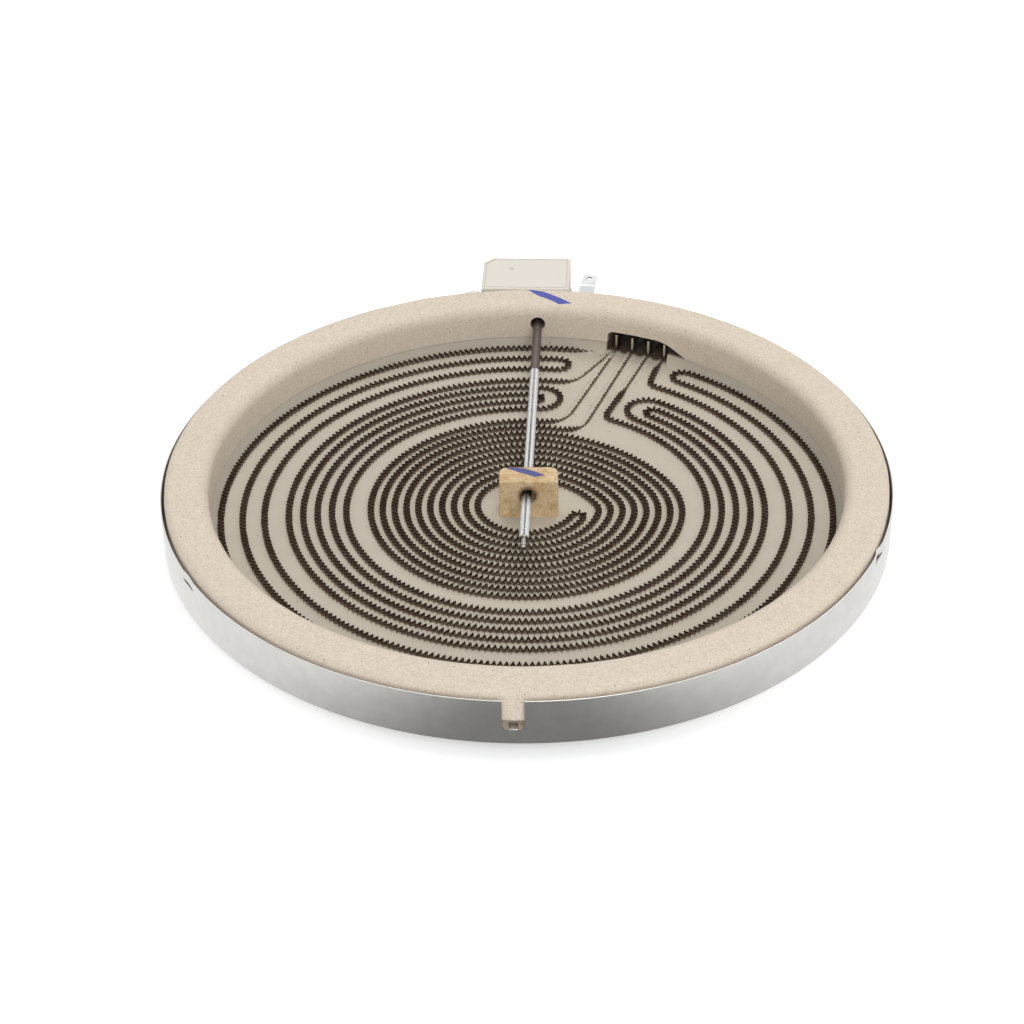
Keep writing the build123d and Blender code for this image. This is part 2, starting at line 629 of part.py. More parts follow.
def middle_ribbon():
    """Five tracks: a wide loop round a narrow one, each closed by hairpins at both ends."""
    outmost, second, third, fourth, inmost = MIDDLE_TRACK_RADII
    wide_right = FULL_TURN + MIDDLE_WIDE_RIGHT_AZIMUTH
    narrow_right = FULL_TURN + MIDDLE_NARROW_RIGHT_AZIMUTH
    last = track(inmost, MIDDLE_WIDE_LEFT_AZIMUTH, FULL_TURN + MIDDLE_LAST_AZIMUTH)
    tracks = [
        track(outmost, MIDDLE_FIRST_AZIMUTH, wide_right),
        hairpin(outmost, fourth, MIDDLE_WIDE_RIGHT_AZIMUTH, 1),
        track(fourth, wide_right, MIDDLE_NARROW_LEFT_AZIMUTH),
        hairpin(fourth, third, MIDDLE_NARROW_LEFT_AZIMUTH, -1),
        track(third, MIDDLE_NARROW_LEFT_AZIMUTH, narrow_right),
        hairpin(third, second, MIDDLE_NARROW_RIGHT_AZIMUTH, 1),
        track(second, narrow_right, MIDDLE_WIDE_LEFT_AZIMUTH),
        hairpin(second, inmost, MIDDLE_WIDE_LEFT_AZIMUTH, -1),
        last,
    ]
    run_out = exit_run(last, MIDDLE_EXIT_HEADING, MIDDLE_EXIT_LENGTH)
    leads = [lead(tracks[0] @ 0, 0, -0.7, -1), lead(run_out[-1] @ 1, 2, 0, -1)]
    return ribbon(tracks + run_out, leads)


def inner_ribbon():
    """Double spiral: one strand winds in, turns at a hairpin and winds out beside itself."""
    hairpin_end = FULL_TURN + SPIRAL_HAIRPIN_AZIMUTH
    inward = spiral_strand(0, SPIRAL_FIRST_AZIMUTH, hairpin_end)
    outward = spiral_strand(1, SPIRAL_SECOND_AZIMUTH, hairpin_end)
    inmost = 2 * SPIRAL_TURNS - 1
    middle = hairpin(spiral_radius(inmost - 1), spiral_radius(inmost), SPIRAL_HAIRPIN_AZIMUTH, 1)
    leads = [lead(inward[0] @ 0, 0, 0.7, -1), lead(outward[0] @ 0, 1, 0, -1)]
    return ribbon(inward + [middle] + outward, leads)


# ---------------------------------------------------------------- terminals
def terminal(index):
    """One terminal: pin in the arch, strip through the wall, spade blade outside."""
    x = terminal_offset(index)
    top = STRIP_FLOOR + BLADE_THICKNESS
    pin = box_between(
        (x - PIN_WIDTH / 2, PIN_RADIUS - BLADE_THICKNESS / 2, STRIP_FLOOR),
        (x + PIN_WIDTH / 2, PIN_RADIUS + BLADE_THICKNESS / 2, STRIP_FLOOR + PIN_HEIGHT),
    )
    strip = box_between(
        (x - TERMINAL_STRIP_WIDTH / 2, PIN_RADIUS - BLADE_THICKNESS / 2, STRIP_FLOOR),
        (x + TERMINAL_STRIP_WIDTH / 2, BLOCK_FACE, top),
    )
    root = BLOCK_FACE - BLOCK_DEPTH / 2
    blade = Pos(x, root, STRIP_FLOOR) * spade(BLOCK_DEPTH / 2 + BLADE_LENGTH)
    return TERMINAL_FRAME * (pin + strip + blade)


def terminal_block():
    """Ceramic block outside the wall with a spigot through the window and a slot for each terminal."""
    middle = STRIP_FLOOR + BLADE_THICKNESS / 2
    block = box_between(
        (-BLOCK_WIDTH / 2, TRAY_RADIUS - BLOCK_DEPTH / 2, BLOCK_FOOT),
        (BLOCK_WIDTH / 2, BLOCK_FACE, BLOCK_FOOT + BLOCK_HEIGHT),
    )
    block = fillet(block.edges().group_by(Axis.Y)[-1], BLOCK_ROUND)
    block -= Cylinder(TRAY_RADIUS, 4 * RIM_HEIGHT)
    spigot = Pos(0, TRAY_RADIUS, middle) * Box(SPIGOT_WIDTH, BLOCK_DEPTH / 2, SPIGOT_HEIGHT)
    block += spigot - Cylinder(TRAY_INNER_RADIUS, 4 * RIM_HEIGHT)
    for i in range(TERMINAL_COUNT):
        x = terminal_offset(i)
        height = BLADE_THICKNESS + 2 * TERMINAL_FIT
        strip_width = TERMINAL_STRIP_WIDTH + 2 * TERMINAL_FIT
        blade_width = BLADE_WIDTH + 2 * TERMINAL_FIT
        block -= Pos(x, TRAY_RADIUS, middle) * Box(strip_width, 3 * BLOCK_DEPTH, height)
        block -= Pos(x, BLOCK_FACE, middle) * Box(blade_width, BLOCK_DEPTH + 2 * TERMINAL_FIT, height)
    block = TERMINAL_FRAME * block
    for place in block_rivet_places():
        block -= rivet_hole(place)
    return block


def rivets(places, outer_face):
    """Rivets that share one grip, as one group of separate solids."""
    return Compound([wall_rivet(place, outer_face) for place in places])


# ---------------------------------------------------------------- rod of the limiter
def tube(start, end):
    """Length of tube about the rod's axis."""
    outer = lengthwise_cylinder(0, ROD_AXIS_HEIGHT, start, end, TUBE_RADIUS)
    return outer - lengthwise_cylinder(0, ROD_AXIS_HEIGHT, start, end, TUBE_BORE_RADIUS)


def rod_ferrule():
    """Turned end piece that bears on the tube's tip and takes the rod's end."""
    z = ROD_AXIS_HEIGHT
    end = TUBE_TIP - FERRULE_LENGTH
    collar_start = end + FERRULE_NOSE
    body = lengthwise_cylinder(0, z, TUBE_TIP - FERRULE_WASHER, TUBE_TIP, FERRULE_WASHER_RADIUS)
    body += lengthwise_cylinder(0, z, end, TUBE_TIP, FERRULE_BARREL_RADIUS)
    body += lengthwise_cylinder(0, z, collar_start, collar_start + FERRULE_COLLAR, FERRULE_COLLAR_RADIUS)
    bore = ROD_RADIUS + ROD_RUNNING_CLEARANCE
    return body - lengthwise_cylinder(0, z, collar_start, TUBE_TIP, bore)


def expansion_rod():
    """Metal rod through tube and sleeve into the head; its growth works the switches."""
    start = TUBE_TIP - FERRULE_LENGTH + FERRULE_NOSE + FERRULE_COLLAR
    end = COLLAR_FACE + ROD_END_LENGTH
    return lengthwise_cylinder(0, ROD_AXIS_HEIGHT, start, end, ROD_RADIUS)


def rod_collar():
    """Collar fixed on the rod, which pushes the two levers."""
    start = COLLAR_FACE - COLLAR_LENGTH
    collar = lengthwise_cylinder(0, ROD_AXIS_HEIGHT, start, COLLAR_FACE, COLLAR_RADIUS)
    collar = chamfer(collar.edges().filter_by(GeomType.CIRCLE), ROD_RADIUS / 3)
    return collar - lengthwise_cylinder(0, ROD_AXIS_HEIGHT, start, COLLAR_FACE, ROD_RADIUS)


def rod_spring():
    """Bowed leaf between the head's front wall and the collar that keeps the rod drawn tight."""
    crown = COLLAR_FACE - COLLAR_LENGTH
    half = SPRING_SPAN / 2

    def bow(inset):
        reach = half - inset
        return ThreePointArc((-reach, CAVITY_FRONT), (0, crown - inset), (reach, CAVITY_FRONT))

    outer = bow(0)
    inner = bow(SPRING_LEAF)
    feet = Line(outer @ 0, inner @ 0) + Line(outer @ 1, inner @ 1)
    leaf = extrude(make_face(outer + inner + feet), SPRING_WIDTH / 2, both=True)
    leaf = Pos(0, 0, ROD_AXIS_HEIGHT) * leaf
    hole = ROD_RADIUS + 2 * ROD_RUNNING_CLEARANCE
    return leaf - lengthwise_cylinder(0, ROD_AXIS_HEIGHT, CAVITY_FRONT, COLLAR_FACE, hole)


# ---------------------------------------------------------------- limiter head
def head_plan(inset):
    """Plan of the head, or of its cavity at a wall's inset, with the cut back corner on the outside."""
    left = -HEAD_LEFT + inset
    right = HEAD_RIGHT - inset
    front = HEAD_FRONT + inset
    back = HEAD_BACK - inset
    cut = HEAD_CORNER_CHAMFER
    return make_face(
        Polyline(
            (left, front),
            (right, front),
            (right, back),
            (left + cut, back),
            (left, back - cut),
            close=True,
        )
    )


def screw_places():
    """Where the two screws pass up through shelf and cover into the head."""
    return [(FRONT_SCREW_X, FRONT_SCREW_Y), (BACK_SCREW_X, BACK_SCREW_Y)]


def blade_slots():
    """Tools that clear the three blades through the head's back wall."""
    tools = []
    for x in (LIMIT_BLADE_X, SIGNAL_BLADE_X, PIVOT_BLADE_X):
        width = BLADE_WIDTH + 2 * TERMINAL_FIT
        height = BLADE_THICKNESS + 2 * TERMINAL_FIT
        slot = Box(width, 2 * (HEAD_WALL + HEAD_CORNER_CHAMFER), height)
        tools.append(Pos(x, HEAD_BACK, COVER_TOP + BLADE_THICKNESS / 2) * slot)
    return tools


def limiter_housing():
    """Ceramic head, open below, with a seat for the sleeve and two screw bosses."""
    height = HEAD_TOP - HEAD_FOOT
    body = extrude(head_plan(0), height)
    body = fillet(body.edges().group_by(Axis.Z)[-1], HEAD_EDGE_ROUND)
    body -= extrude(head_plan(HEAD_WALL), height - HEAD_WALL)
    groove = head_plan(HEAD_GROOVE_INSET) - head_plan(HEAD_GROOVE_INSET + HEAD_GROOVE_WIDTH)
    body -= Pos(0, 0, height) * extrude(groove, -HEAD_GROOVE_DEPTH)
    body = Pos(0, 0, HEAD_FOOT) * body
    for x, y in screw_places():
        body += upright_cylinder(x, y, COVER_TOP, CAVITY_ROOF, SCREW_BOSS_RADIUS)
        body -= upright_cylinder(x, y, HEAD_FOOT, COVER_TOP + SCREW_ENGAGEMENT, SCREW_RADIUS)
    z = ROD_AXIS_HEIGHT
    seat_end = HEAD_FRONT + SLEEVE_SEAT_DEPTH
    body -= lengthwise_cylinder(0, z, HEAD_FRONT, seat_end, TUBE_RADIUS + HEAD_FIT)
    body -= lengthwise_cylinder(0, z, seat_end, CAVITY_FRONT, ROD_RADIUS + HEAD_FIT)
    for tool in blade_slots():
        body -= tool
    pinhole_y = HEAD_BACK - HEAD_PINHOLE_FROM_BACK
    pinhole_foot = HEAD_TOP - HEAD_WALL / 2
    return body - upright_cylinder(HEAD_PINHOLE_X, pinhole_y, pinhole_foot, HEAD_TOP, HEAD_PINHOLE_RADIUS)


def limiter_cover():
    """Ceramic plate that closes the head from below and carries the three terminals."""
    plate = extrude(head_plan(HEAD_WALL + HEAD_FIT), COVER_THICKNESS)
    plate = Pos(0, 0, HEAD_FOOT) * plate
    for x, y in screw_places():
        plate -= upright_cylinder(x, y, HEAD_FOOT, COVER_TOP, SCREW_RADIUS + HEAD_FIT)
    return plate


def limiter_screws():
    """Two screws that hold shelf, cover and head together."""
    screws = []
    under_shelf = SHELF_TOP - BRACKET_SHEET
    for x, y in screw_places():
        head = upright_cylinder(x, y, under_shelf - SCREW_HEAD_HEIGHT, under_shelf, SCREW_HEAD_RADIUS)
        slot = Pos(x, y, under_shelf - SCREW_HEAD_HEIGHT) * Box(3 * SCREW_HEAD_RADIUS, 0.8, 1.2)
        shank = upright_cylinder(x, y, under_shelf, COVER_TOP + SCREW_ENGAGEMENT, SCREW_RADIUS)
        screws.append(head - slot + shank)
    return Compound(screws)


# ---------------------------------------------------------------- limiter switch gear
def contact(x, z, start, end):
    """Round contact button along Y."""
    return lengthwise_cylinder(x, z, start, end, CONTACT_RADIUS)


def lever(foot, contact_side):
    """Rocker on the pivot post, with a nose at the collar and a contact at its far end.

    The contact is on the side away from the collar for +1 and towards it for -1."""
    half = LEVER_BAR / 2
    middle = PIVOT_X + (LEVER_ARM - LEVER_REACH) / 2
    plan = Pos(middle, PIVOT_Y) * Rectangle(LEVER_REACH + LEVER_ARM, LEVER_BAR)
    plan += Pos(PIVOT_X, PIVOT_Y) * Circle(LEVER_BOSS_RADIUS)
    plan += Pos(0, COLLAR_FACE + NOSE_GAP + LEVER_NOSE_RADIUS) * Circle(LEVER_NOSE_RADIUS)
    plan -= Pos(PIVOT_X, PIVOT_Y) * Circle(PIVOT_RADIUS + PIVOT_RUNNING_CLEARANCE)
    body = Pos(0, 0, foot) * extrude(plan, LEVER_THICKNESS)
    face = PIVOT_Y + contact_side * half
    ends = sorted((face, face + contact_side * CONTACT_HEIGHT))
    return body + contact(PIVOT_X - CONTACT_ARM, foot + LEVER_THICKNESS / 2, *ends)


def terminal_foot(x, start):
    """Strip on the cover that leaves the head as a spade blade."""
    return Pos(x, start, COVER_TOP) * spade(HEAD_BACK + BLADE_LENGTH - start)


def limit_terminal():
    """Fixed contact that the upper lever rests on until the rod has grown, with its blade."""
    face = PIVOT_Y + LEVER_BAR / 2 + CONTACT_HEIGHT + CONTACT_GAP
    x = PIVOT_X - CONTACT_ARM
    z = UPPER_LEVER_FOOT + LEVER_THICKNESS / 2
    back = face + CONTACT_HEIGHT
    upright = box_between(
        (x - UPRIGHT_WIDTH / 2, back, COVER_TOP),
        (x + UPRIGHT_WIDTH / 2, back + BLADE_THICKNESS, z + CONTACT_RADIUS),
    )
    return upright + contact(x, z, face, back) + terminal_foot(LIMIT_BLADE_X, back)


def signal_terminal():
    """Fixed contact that the lower lever reaches when the glass is hot, with its blade."""
    face = PIVOT_Y - LEVER_BAR / 2 - CONTACT_HEIGHT - CONTACT_TRAVEL - 2 * CONTACT_GAP
    x = PIVOT_X - CONTACT_ARM
    z = LOWER_LEVER_FOOT + LEVER_THICKNESS / 2
    back = face - CONTACT_HEIGHT
    front = back - BLADE_THICKNESS
    upright = box_between(
        (x - UPRIGHT_WIDTH / 2, front, COVER_TOP),
        (x + UPRIGHT_WIDTH / 2, back, z + CONTACT_RADIUS),
    )
    strip_start = FRONT_SCREW_Y + SCREW_BOSS_RADIUS + SPACER_WALL
    side_arm = box_between(
        (x - UPRIGHT_WIDTH / 2, front, COVER_TOP),
        (SIGNAL_BLADE_X - SPACER_WALL, strip_start + BLADE_WIDTH / 2, COVER_TOP + BLADE_THICKNESS),
    )
    body = upright + side_arm + contact(x, z, back, face)
    return body + terminal_foot(SIGNAL_BLADE_X, strip_start)


def pivot_terminal():
    """Post that both levers turn on, standing on the blade that feeds them."""
    start = PIVOT_Y - LEVER_BOSS_RADIUS
    post = upright_cylinder(PIVOT_X, PIVOT_Y, COVER_TOP, CAVITY_ROOF, PIVOT_RADIUS)
    return post + terminal_foot(PIVOT_BLADE_X, start)


def lever_spacers():
    """Ceramic tubes on the post that keep the levers at their heights."""
    lower_top = LOWER_LEVER_FOOT + LEVER_THICKNESS
    upper_top = UPPER_LEVER_FOOT + LEVER_THICKNESS
    spans = [
        (COVER_TOP + BLADE_THICKNESS, LOWER_LEVER_FOOT - SPACER_GAP),
        (lower_top + SPACER_GAP, UPPER_LEVER_FOOT - SPACER_GAP),
        (upper_top + SPACER_GAP, CAVITY_ROOF),
    ]
    spacers = []
    for foot, top in spans:
        outer = upright_cylinder(PIVOT_X, PIVOT_Y, foot, top, PIVOT_RADIUS + SPACER_WALL)
        spacers.append(outer - upright_cylinder(PIVOT_X, PIVOT_Y, foot, top, PIVOT_RADIUS))
    return Compound(spacers)


# ---------------------------------------------------------------- limiter bracket
def bent_flange(width, rise, length):
    """Sheet flange that leaves the wall's outside at the rim, slopes up and outwards and levels out."""
    middle = TRAY_RADIUS + BRACKET_SHEET / 2
    bend = RIM_HEIGHT
    route = FilletPolyline(
        (middle, bend - CRIMP_LENGTH / 2),
        (middle, bend),
        (middle + rise, bend + rise),
        (middle + rise + length, bend + rise),
        radius=BRACKET_BEND_RADIUS,
    )
    section = trace(route, BRACKET_SHEET)
    return extrude(Plane.YZ * section, width / 2, both=True)


def earth_tab():
    """Right-hand flange of the bracket, drawn out into the protective-earth blade."""
    shoulder = bent_flange(EARTH_TAB_WIDTH, EARTH_TAB_RISE, EARTH_TAB_SHOULDER)
    level = RIM_HEIGHT + EARTH_TAB_RISE - BRACKET_SHEET / 2
    root = TRAY_RADIUS + BRACKET_SHEET / 2 + EARTH_TAB_RISE + EARTH_TAB_SHOULDER
    blade = Pos(0, root, level) * spade(BLADE_LENGTH, EARTH_BLADE_HOLE)
    return at_azimuth(EARTH_TAB_AZIMUTH, shoulder + blade)


def limiter_bracket():
    """Sheet saddle riveted to the wall: shelf with lips under the head, flanges and the earth tab."""
    outer = TRAY_RADIUS + BRACKET_SHEET
    foot = SHELF_TOP - BRACKET_SHEET
    height = RIM_HEIGHT - BRACKET_RIM_GAP - foot
    arc_size = BRACKET_LAST_AZIMUTH - BRACKET_FIRST_AZIMUTH
    outside = CenterArc((0, 0), outer, BRACKET_FIRST_AZIMUTH, arc_size)
    inside = CenterArc((0, 0), TRAY_RADIUS, BRACKET_FIRST_AZIMUTH, arc_size)
    ends = Line(outside @ 0, inside @ 0) + Line(outside @ 1, inside @ 1)
    saddle = Pos(0, 0, foot) * extrude(make_face(outside + inside + ends), height)
    left = -HEAD_LEFT - HEAD_FIT
    right = HEAD_RIGHT + HEAD_FIT
    shelf = box_between(
        (left - BRACKET_SHEET, TRAY_RADIUS - HEAD_LEFT, foot),
        (right + BRACKET_SHEET, HEAD_BACK, SHELF_TOP),
    )
    for x in (left - BRACKET_SHEET, right):
        shelf += box_between(
            (x, HEAD_FRONT, SHELF_TOP),
            (x + BRACKET_SHEET, HEAD_BACK - HEAD_CORNER_CHAMFER, SHELF_TOP + BRACKET_LIP_HEIGHT),
        )
    for x, y in screw_places():
        shelf -= upright_cylinder(x, y, foot, SHELF_TOP, SCREW_RADIUS + HEAD_FIT)
    shelf = LIMITER_FRAME * shelf - Cylinder(TRAY_RADIUS, 4 * RIM_HEIGHT)
    left_flange = bent_flange(EARTH_TAB_WIDTH, LEFT_FLANGE_RISE, BRACKET_SHEET)
    body = saddle + shelf + earth_tab() + at_azimuth(LEFT_FLANGE_AZIMUTH, left_flange)
    hole_radius = TUBE_RADIUS + WALL_ROD_CLEARANCE
    hole = lengthwise_cylinder(0, ROD_AXIS_HEIGHT, TRAY_RADIUS - 5, TRAY_RADIUS + 5, hole_radius)
    body -= LIMITER_FRAME * hole
    for place in bracket_rivet_places():
        body -= rivet_hole(place)
    return body - Cylinder(TRAY_RADIUS, 4 * RIM_HEIGHT)


# ---------------------------------------------------------------- assembly
def assembly():
    """Every piece by its node name, in the heater's frame."""
    pieces = {
        "tray": tray(),
        "base_insulation": base_insulation(),
        "insulation_ring": insulation_ring(),
        "centre_block": centre_block(),
        "terminal_block": terminal_block(),
        "block_rivets": rivets(block_rivet_places(), BLOCK_FACE),
        "bracket_rivets": rivets(bracket_rivet_places(), TRAY_RADIUS + BRACKET_SHEET),
        "limiter_bracket": limiter_bracket(),
    }
    circuits = {
        "outer_ribbon": outer_ribbon(),
        "middle_ribbon": middle_ribbon(),
        "inner_ribbon": inner_ribbon(),
    }
    for index, name in enumerate(TERMINAL_NAMES):
        pieces[name] = terminal(index)
    for name, circuit in circuits.items():
        for terminal_name in TERMINAL_NAMES:
            circuit -= pieces[terminal_name]
        pieces[name] = circuit
    local = {
        "compensating_sleeve": tube(SLEEVE_INNER_END, HEAD_FRONT + SLEEVE_SEAT_DEPTH),
        "quartz_tube": tube(TUBE_TIP, SLEEVE_INNER_END),
        "rod_ferrule": rod_ferrule(),
        "expansion_rod": expansion_rod(),
        "rod_collar": rod_collar(),
        "rod_spring": rod_spring(),
        "limiter_housing": limiter_housing(),
        "limiter_cover": limiter_cover(),
        "limiter_screws": limiter_screws(),
        "limit_lever": lever(UPPER_LEVER_FOOT, 1),
        "signal_lever": lever(LOWER_LEVER_FOOT, -1),
        "limit_terminal": limit_terminal(),
        "signal_terminal": signal_terminal(),
        "pivot_terminal": pivot_terminal(),
        "lever_spacers": lever_spacers(),
    }
    for name, piece in local.items():
        pieces[name] = LIMITER_FRAME * piece
    return pieces


os.makedirs("parts", exist_ok=True)
for node, shape in assembly().items():
    export_step(shape, f"parts/{node}.step")
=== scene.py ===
"""Looks of a three-circuit radiant heater of a glass-ceramic hob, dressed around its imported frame."""

import logging
import math
from collections.abc import Callable, Iterable, Iterator, Sequence
from dataclasses import dataclass, field
from enum import Enum
from typing import ClassVar

import bmesh
import bpy
from mathutils import Matrix, Vector, noise


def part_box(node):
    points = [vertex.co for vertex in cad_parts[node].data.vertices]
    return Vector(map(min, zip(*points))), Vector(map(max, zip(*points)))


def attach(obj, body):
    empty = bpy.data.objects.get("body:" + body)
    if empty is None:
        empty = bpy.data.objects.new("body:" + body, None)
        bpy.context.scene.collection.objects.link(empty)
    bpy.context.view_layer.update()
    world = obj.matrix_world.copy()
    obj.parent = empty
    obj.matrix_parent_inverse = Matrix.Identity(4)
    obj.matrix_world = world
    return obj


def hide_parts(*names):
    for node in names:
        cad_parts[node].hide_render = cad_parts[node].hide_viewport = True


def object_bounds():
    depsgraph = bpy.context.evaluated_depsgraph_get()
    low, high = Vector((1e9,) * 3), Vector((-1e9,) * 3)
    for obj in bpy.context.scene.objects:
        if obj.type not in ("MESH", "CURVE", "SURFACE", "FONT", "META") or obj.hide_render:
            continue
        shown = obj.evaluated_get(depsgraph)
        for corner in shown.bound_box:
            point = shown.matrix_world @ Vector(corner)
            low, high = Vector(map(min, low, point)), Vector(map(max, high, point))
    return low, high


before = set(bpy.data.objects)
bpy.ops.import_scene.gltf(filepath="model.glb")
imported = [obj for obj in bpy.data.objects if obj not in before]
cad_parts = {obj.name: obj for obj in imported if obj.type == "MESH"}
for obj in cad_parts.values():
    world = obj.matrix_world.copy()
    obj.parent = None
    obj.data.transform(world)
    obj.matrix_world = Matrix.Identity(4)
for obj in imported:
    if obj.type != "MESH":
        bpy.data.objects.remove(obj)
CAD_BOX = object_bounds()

LOG = logging.getLogger("heater")

MM = 0.001
FULL_TURN = 360.0
LATHE_STEPS = 288
WELD = 0.001 * MM
UP = Vector((0, 0, 1))
HEATER_BODY = "heater_body"
ROD_YAW = 2.4
ROD_OFFSET = 0.3 * MM
TERMINAL_AZIMUTH = 66.8

Tree = bpy.types.NodeTree
Node = bpy.types.Node
Socket = bpy.types.NodeSocket
Source = Node | Socket
Material = bpy.types.Material
Thing = bpy.types.Object
Mesh = bmesh.types.BMesh
Corners = Sequence[tuple[float, float, float]]


class Slot(Enum):
    """Material slots of the record that the finishes of new pieces name."""

    TRAY = "aluminised_steel"
    BASE = "microporous"
    RING = "vermiculite"
    BLOCK = "block_fibre"
    RIBBON = "ribbon_alloy"
    SLEEVE = "dark_sleeve"
    QUARTZ = "quartz"
    FERRULE = "ferrule_steel"


class Pin(Enum):
    """Terminals in the arch, numbered from the left."""

    COMMON = 0
    INNER = 1
    MIDDLE = 2
    OUTER = 3


class Bulge(Enum):
    """Way in which a hairpin bulges, seen from above."""

    ANTICLOCKWISE = 1
    CLOCKWISE = -1


class Carving(Enum):
    """What a tool does to the mesh that it meets."""

    CUT = "DIFFERENCE"
    JOIN = "UNION"


# ---------------------------------------------------------------- shading
def linear(hex_colour: str) -> tuple[float, float, float, float]:
    """Turn an sRGB hex colour to linear light.

    Args:
        hex_colour: Colour as "#RRGGBB".

    Returns:
        Linear red, green and blue, and a full alpha.
    """
    channels = [int(hex_colour[i : i + 2], 16) / 255 for i in (1, 3, 5)]
    light = [c / 12.92 if c <= 0.04045 else ((c + 0.055) / 1.055) ** 2.4 for c in channels]
    return (*light, 1.0)


def add_node(tree: Tree, kind: str, feeds: dict | None = None, **settings: object) -> Node:
    """Add a shader node, set its options and feed its sockets.

    Args:
        tree: Node tree that gets the node.
        kind: Blender's name of the node, without ShaderNode before it.
        feeds: Value, socket, or node for its first output, for each input by name or number.
        settings: Options of the node itself.

    Returns:
        The new node.
    """
    node = tree.nodes.new(f"ShaderNode{kind}")
    for name, value in settings.items():
        setattr(node, name, value)
    for key, value in (feeds or {}).items():
        source = value.outputs[0] if isinstance(value, Node) else value
        if isinstance(source, Socket):
            tree.links.new(source, node.inputs[key])
        else:
            node.inputs[key].default_value = source
    return node


def within(tree: Tree, *bands: tuple[Source, float, float]) -> Socket:
    """Mask that is 1 where every value has crossed its band, with soft edges.

    Args:
        tree: Node tree that gets the nodes.
        bands: Each value with the two figures of its band, the one that gives 0 first.

    Returns:
        Socket with the mask.
    """
    mask = None
    for value, none, full in bands:
        feeds = {"Value": value, "From Min": none, "From Max": full}
        edge = add_node(tree, "MapRange", feeds, interpolation_type="SMOOTHSTEP")
        mask = edge if mask is None else add_node(tree, "Math", {0: mask, 1: edge}, operation="MULTIPLY")
    return mask.outputs[0]


def coated(tree: Tree, base: Socket | str, *coats: tuple[Source, str]) -> Socket:
    """Lay coats of colour over a base, one after another.

    Args:
        tree: Node tree that gets the nodes.
        base: Colour under the coats, as hex or as a socket.
        coats: Mask and hex colour of each coat.

    Returns:
        Socket with the colour.
    """
    colour = linear(base) if isinstance(base, str) else base
    for share, coat in coats:
        feeds = {"Factor": share, 6: colour, 7: linear(coat)}
        colour = add_node(tree, "Mix", feeds, data_type="RGBA").outputs[2]
    return colour


@dataclass(frozen=True)
class PaintStroke:
    """Brush stroke of quality paint on a top face, in plan: pointed where it starts, cut where it ends."""

    start: tuple[float, float]
    heading: float
    length: float
    width: float
    foot: float
    bow: float
    point: float
    colour: str = "#565CA6"
    headroom: float = 4 * MM
    bristle: float = 1.2 * MM
    starved: float = 0.30
    blunt: float = 0.15
    slant: float = 0.10
    sides: tuple[float, float] = (1.20, 1.08)
    first_end: tuple[float, float] = (0.0, 0.03)
    last_end: tuple[float, float] = (1.0, 0.985)
    face: tuple[float, float] = (-0.02, 0.0)

    def cover(self, tree: Tree, place: Socket) -> Socket:
        """Mask that is 1 under the stroke, ragged where the grain starves it.

        Args:
            tree: Node tree of the material.
            place: Object coordinates.

        Returns:
            Socket with the mask.
        """
        laid_out = {
            "Vector": place,
            "Location": (*self.start, self.foot),
            "Rotation": (0, 0, math.radians(self.heading)),
            "Scale": (self.length, self.width / 2, self.headroom),
        }
        laid = add_node(tree, "Mapping", laid_out, vector_type="TEXTURE")
        along, across, above = add_node(tree, "SeparateXYZ", {0: laid}).outputs
        rest = add_node(tree, "Math", {0: 1.0, 1: along}, operation="SUBTRACT")
        arch = add_node(tree, "Math", {0: along, 1: rest}, operation="MULTIPLY")
        bowed = add_node(tree, "Math", {0: arch, 1: -4 * self.bow, 2: across}, operation="MULTIPLY_ADD")
        from_middle = add_node(tree, "Math", {0: bowed}, operation="ABSOLUTE")
        wobble = add_node(tree, "TexNoise", {"Vector": place, "Scale": 1 / self.bristle, "Detail": 3.0})
        wobbled = {0: wobble, 1: self.starved, 2: from_middle}
        ragged = add_node(tree, "Math", wobbled, operation="MULTIPLY_ADD")
        taper = add_node(tree, "MapRange", {"Value": along, "From Max": self.point, "To Min": self.blunt})
        room = add_node(tree, "Math", {0: ragged, 1: taper}, operation="DIVIDE")
        slanted = add_node(tree, "Math", {0: bowed, 1: -self.slant, 2: along}, operation="MULTIPLY_ADD")
        ends = (slanted, *self.last_end), (along, *self.first_end)
        return within(tree, (room, *self.sides), *ends, (above, *self.face))


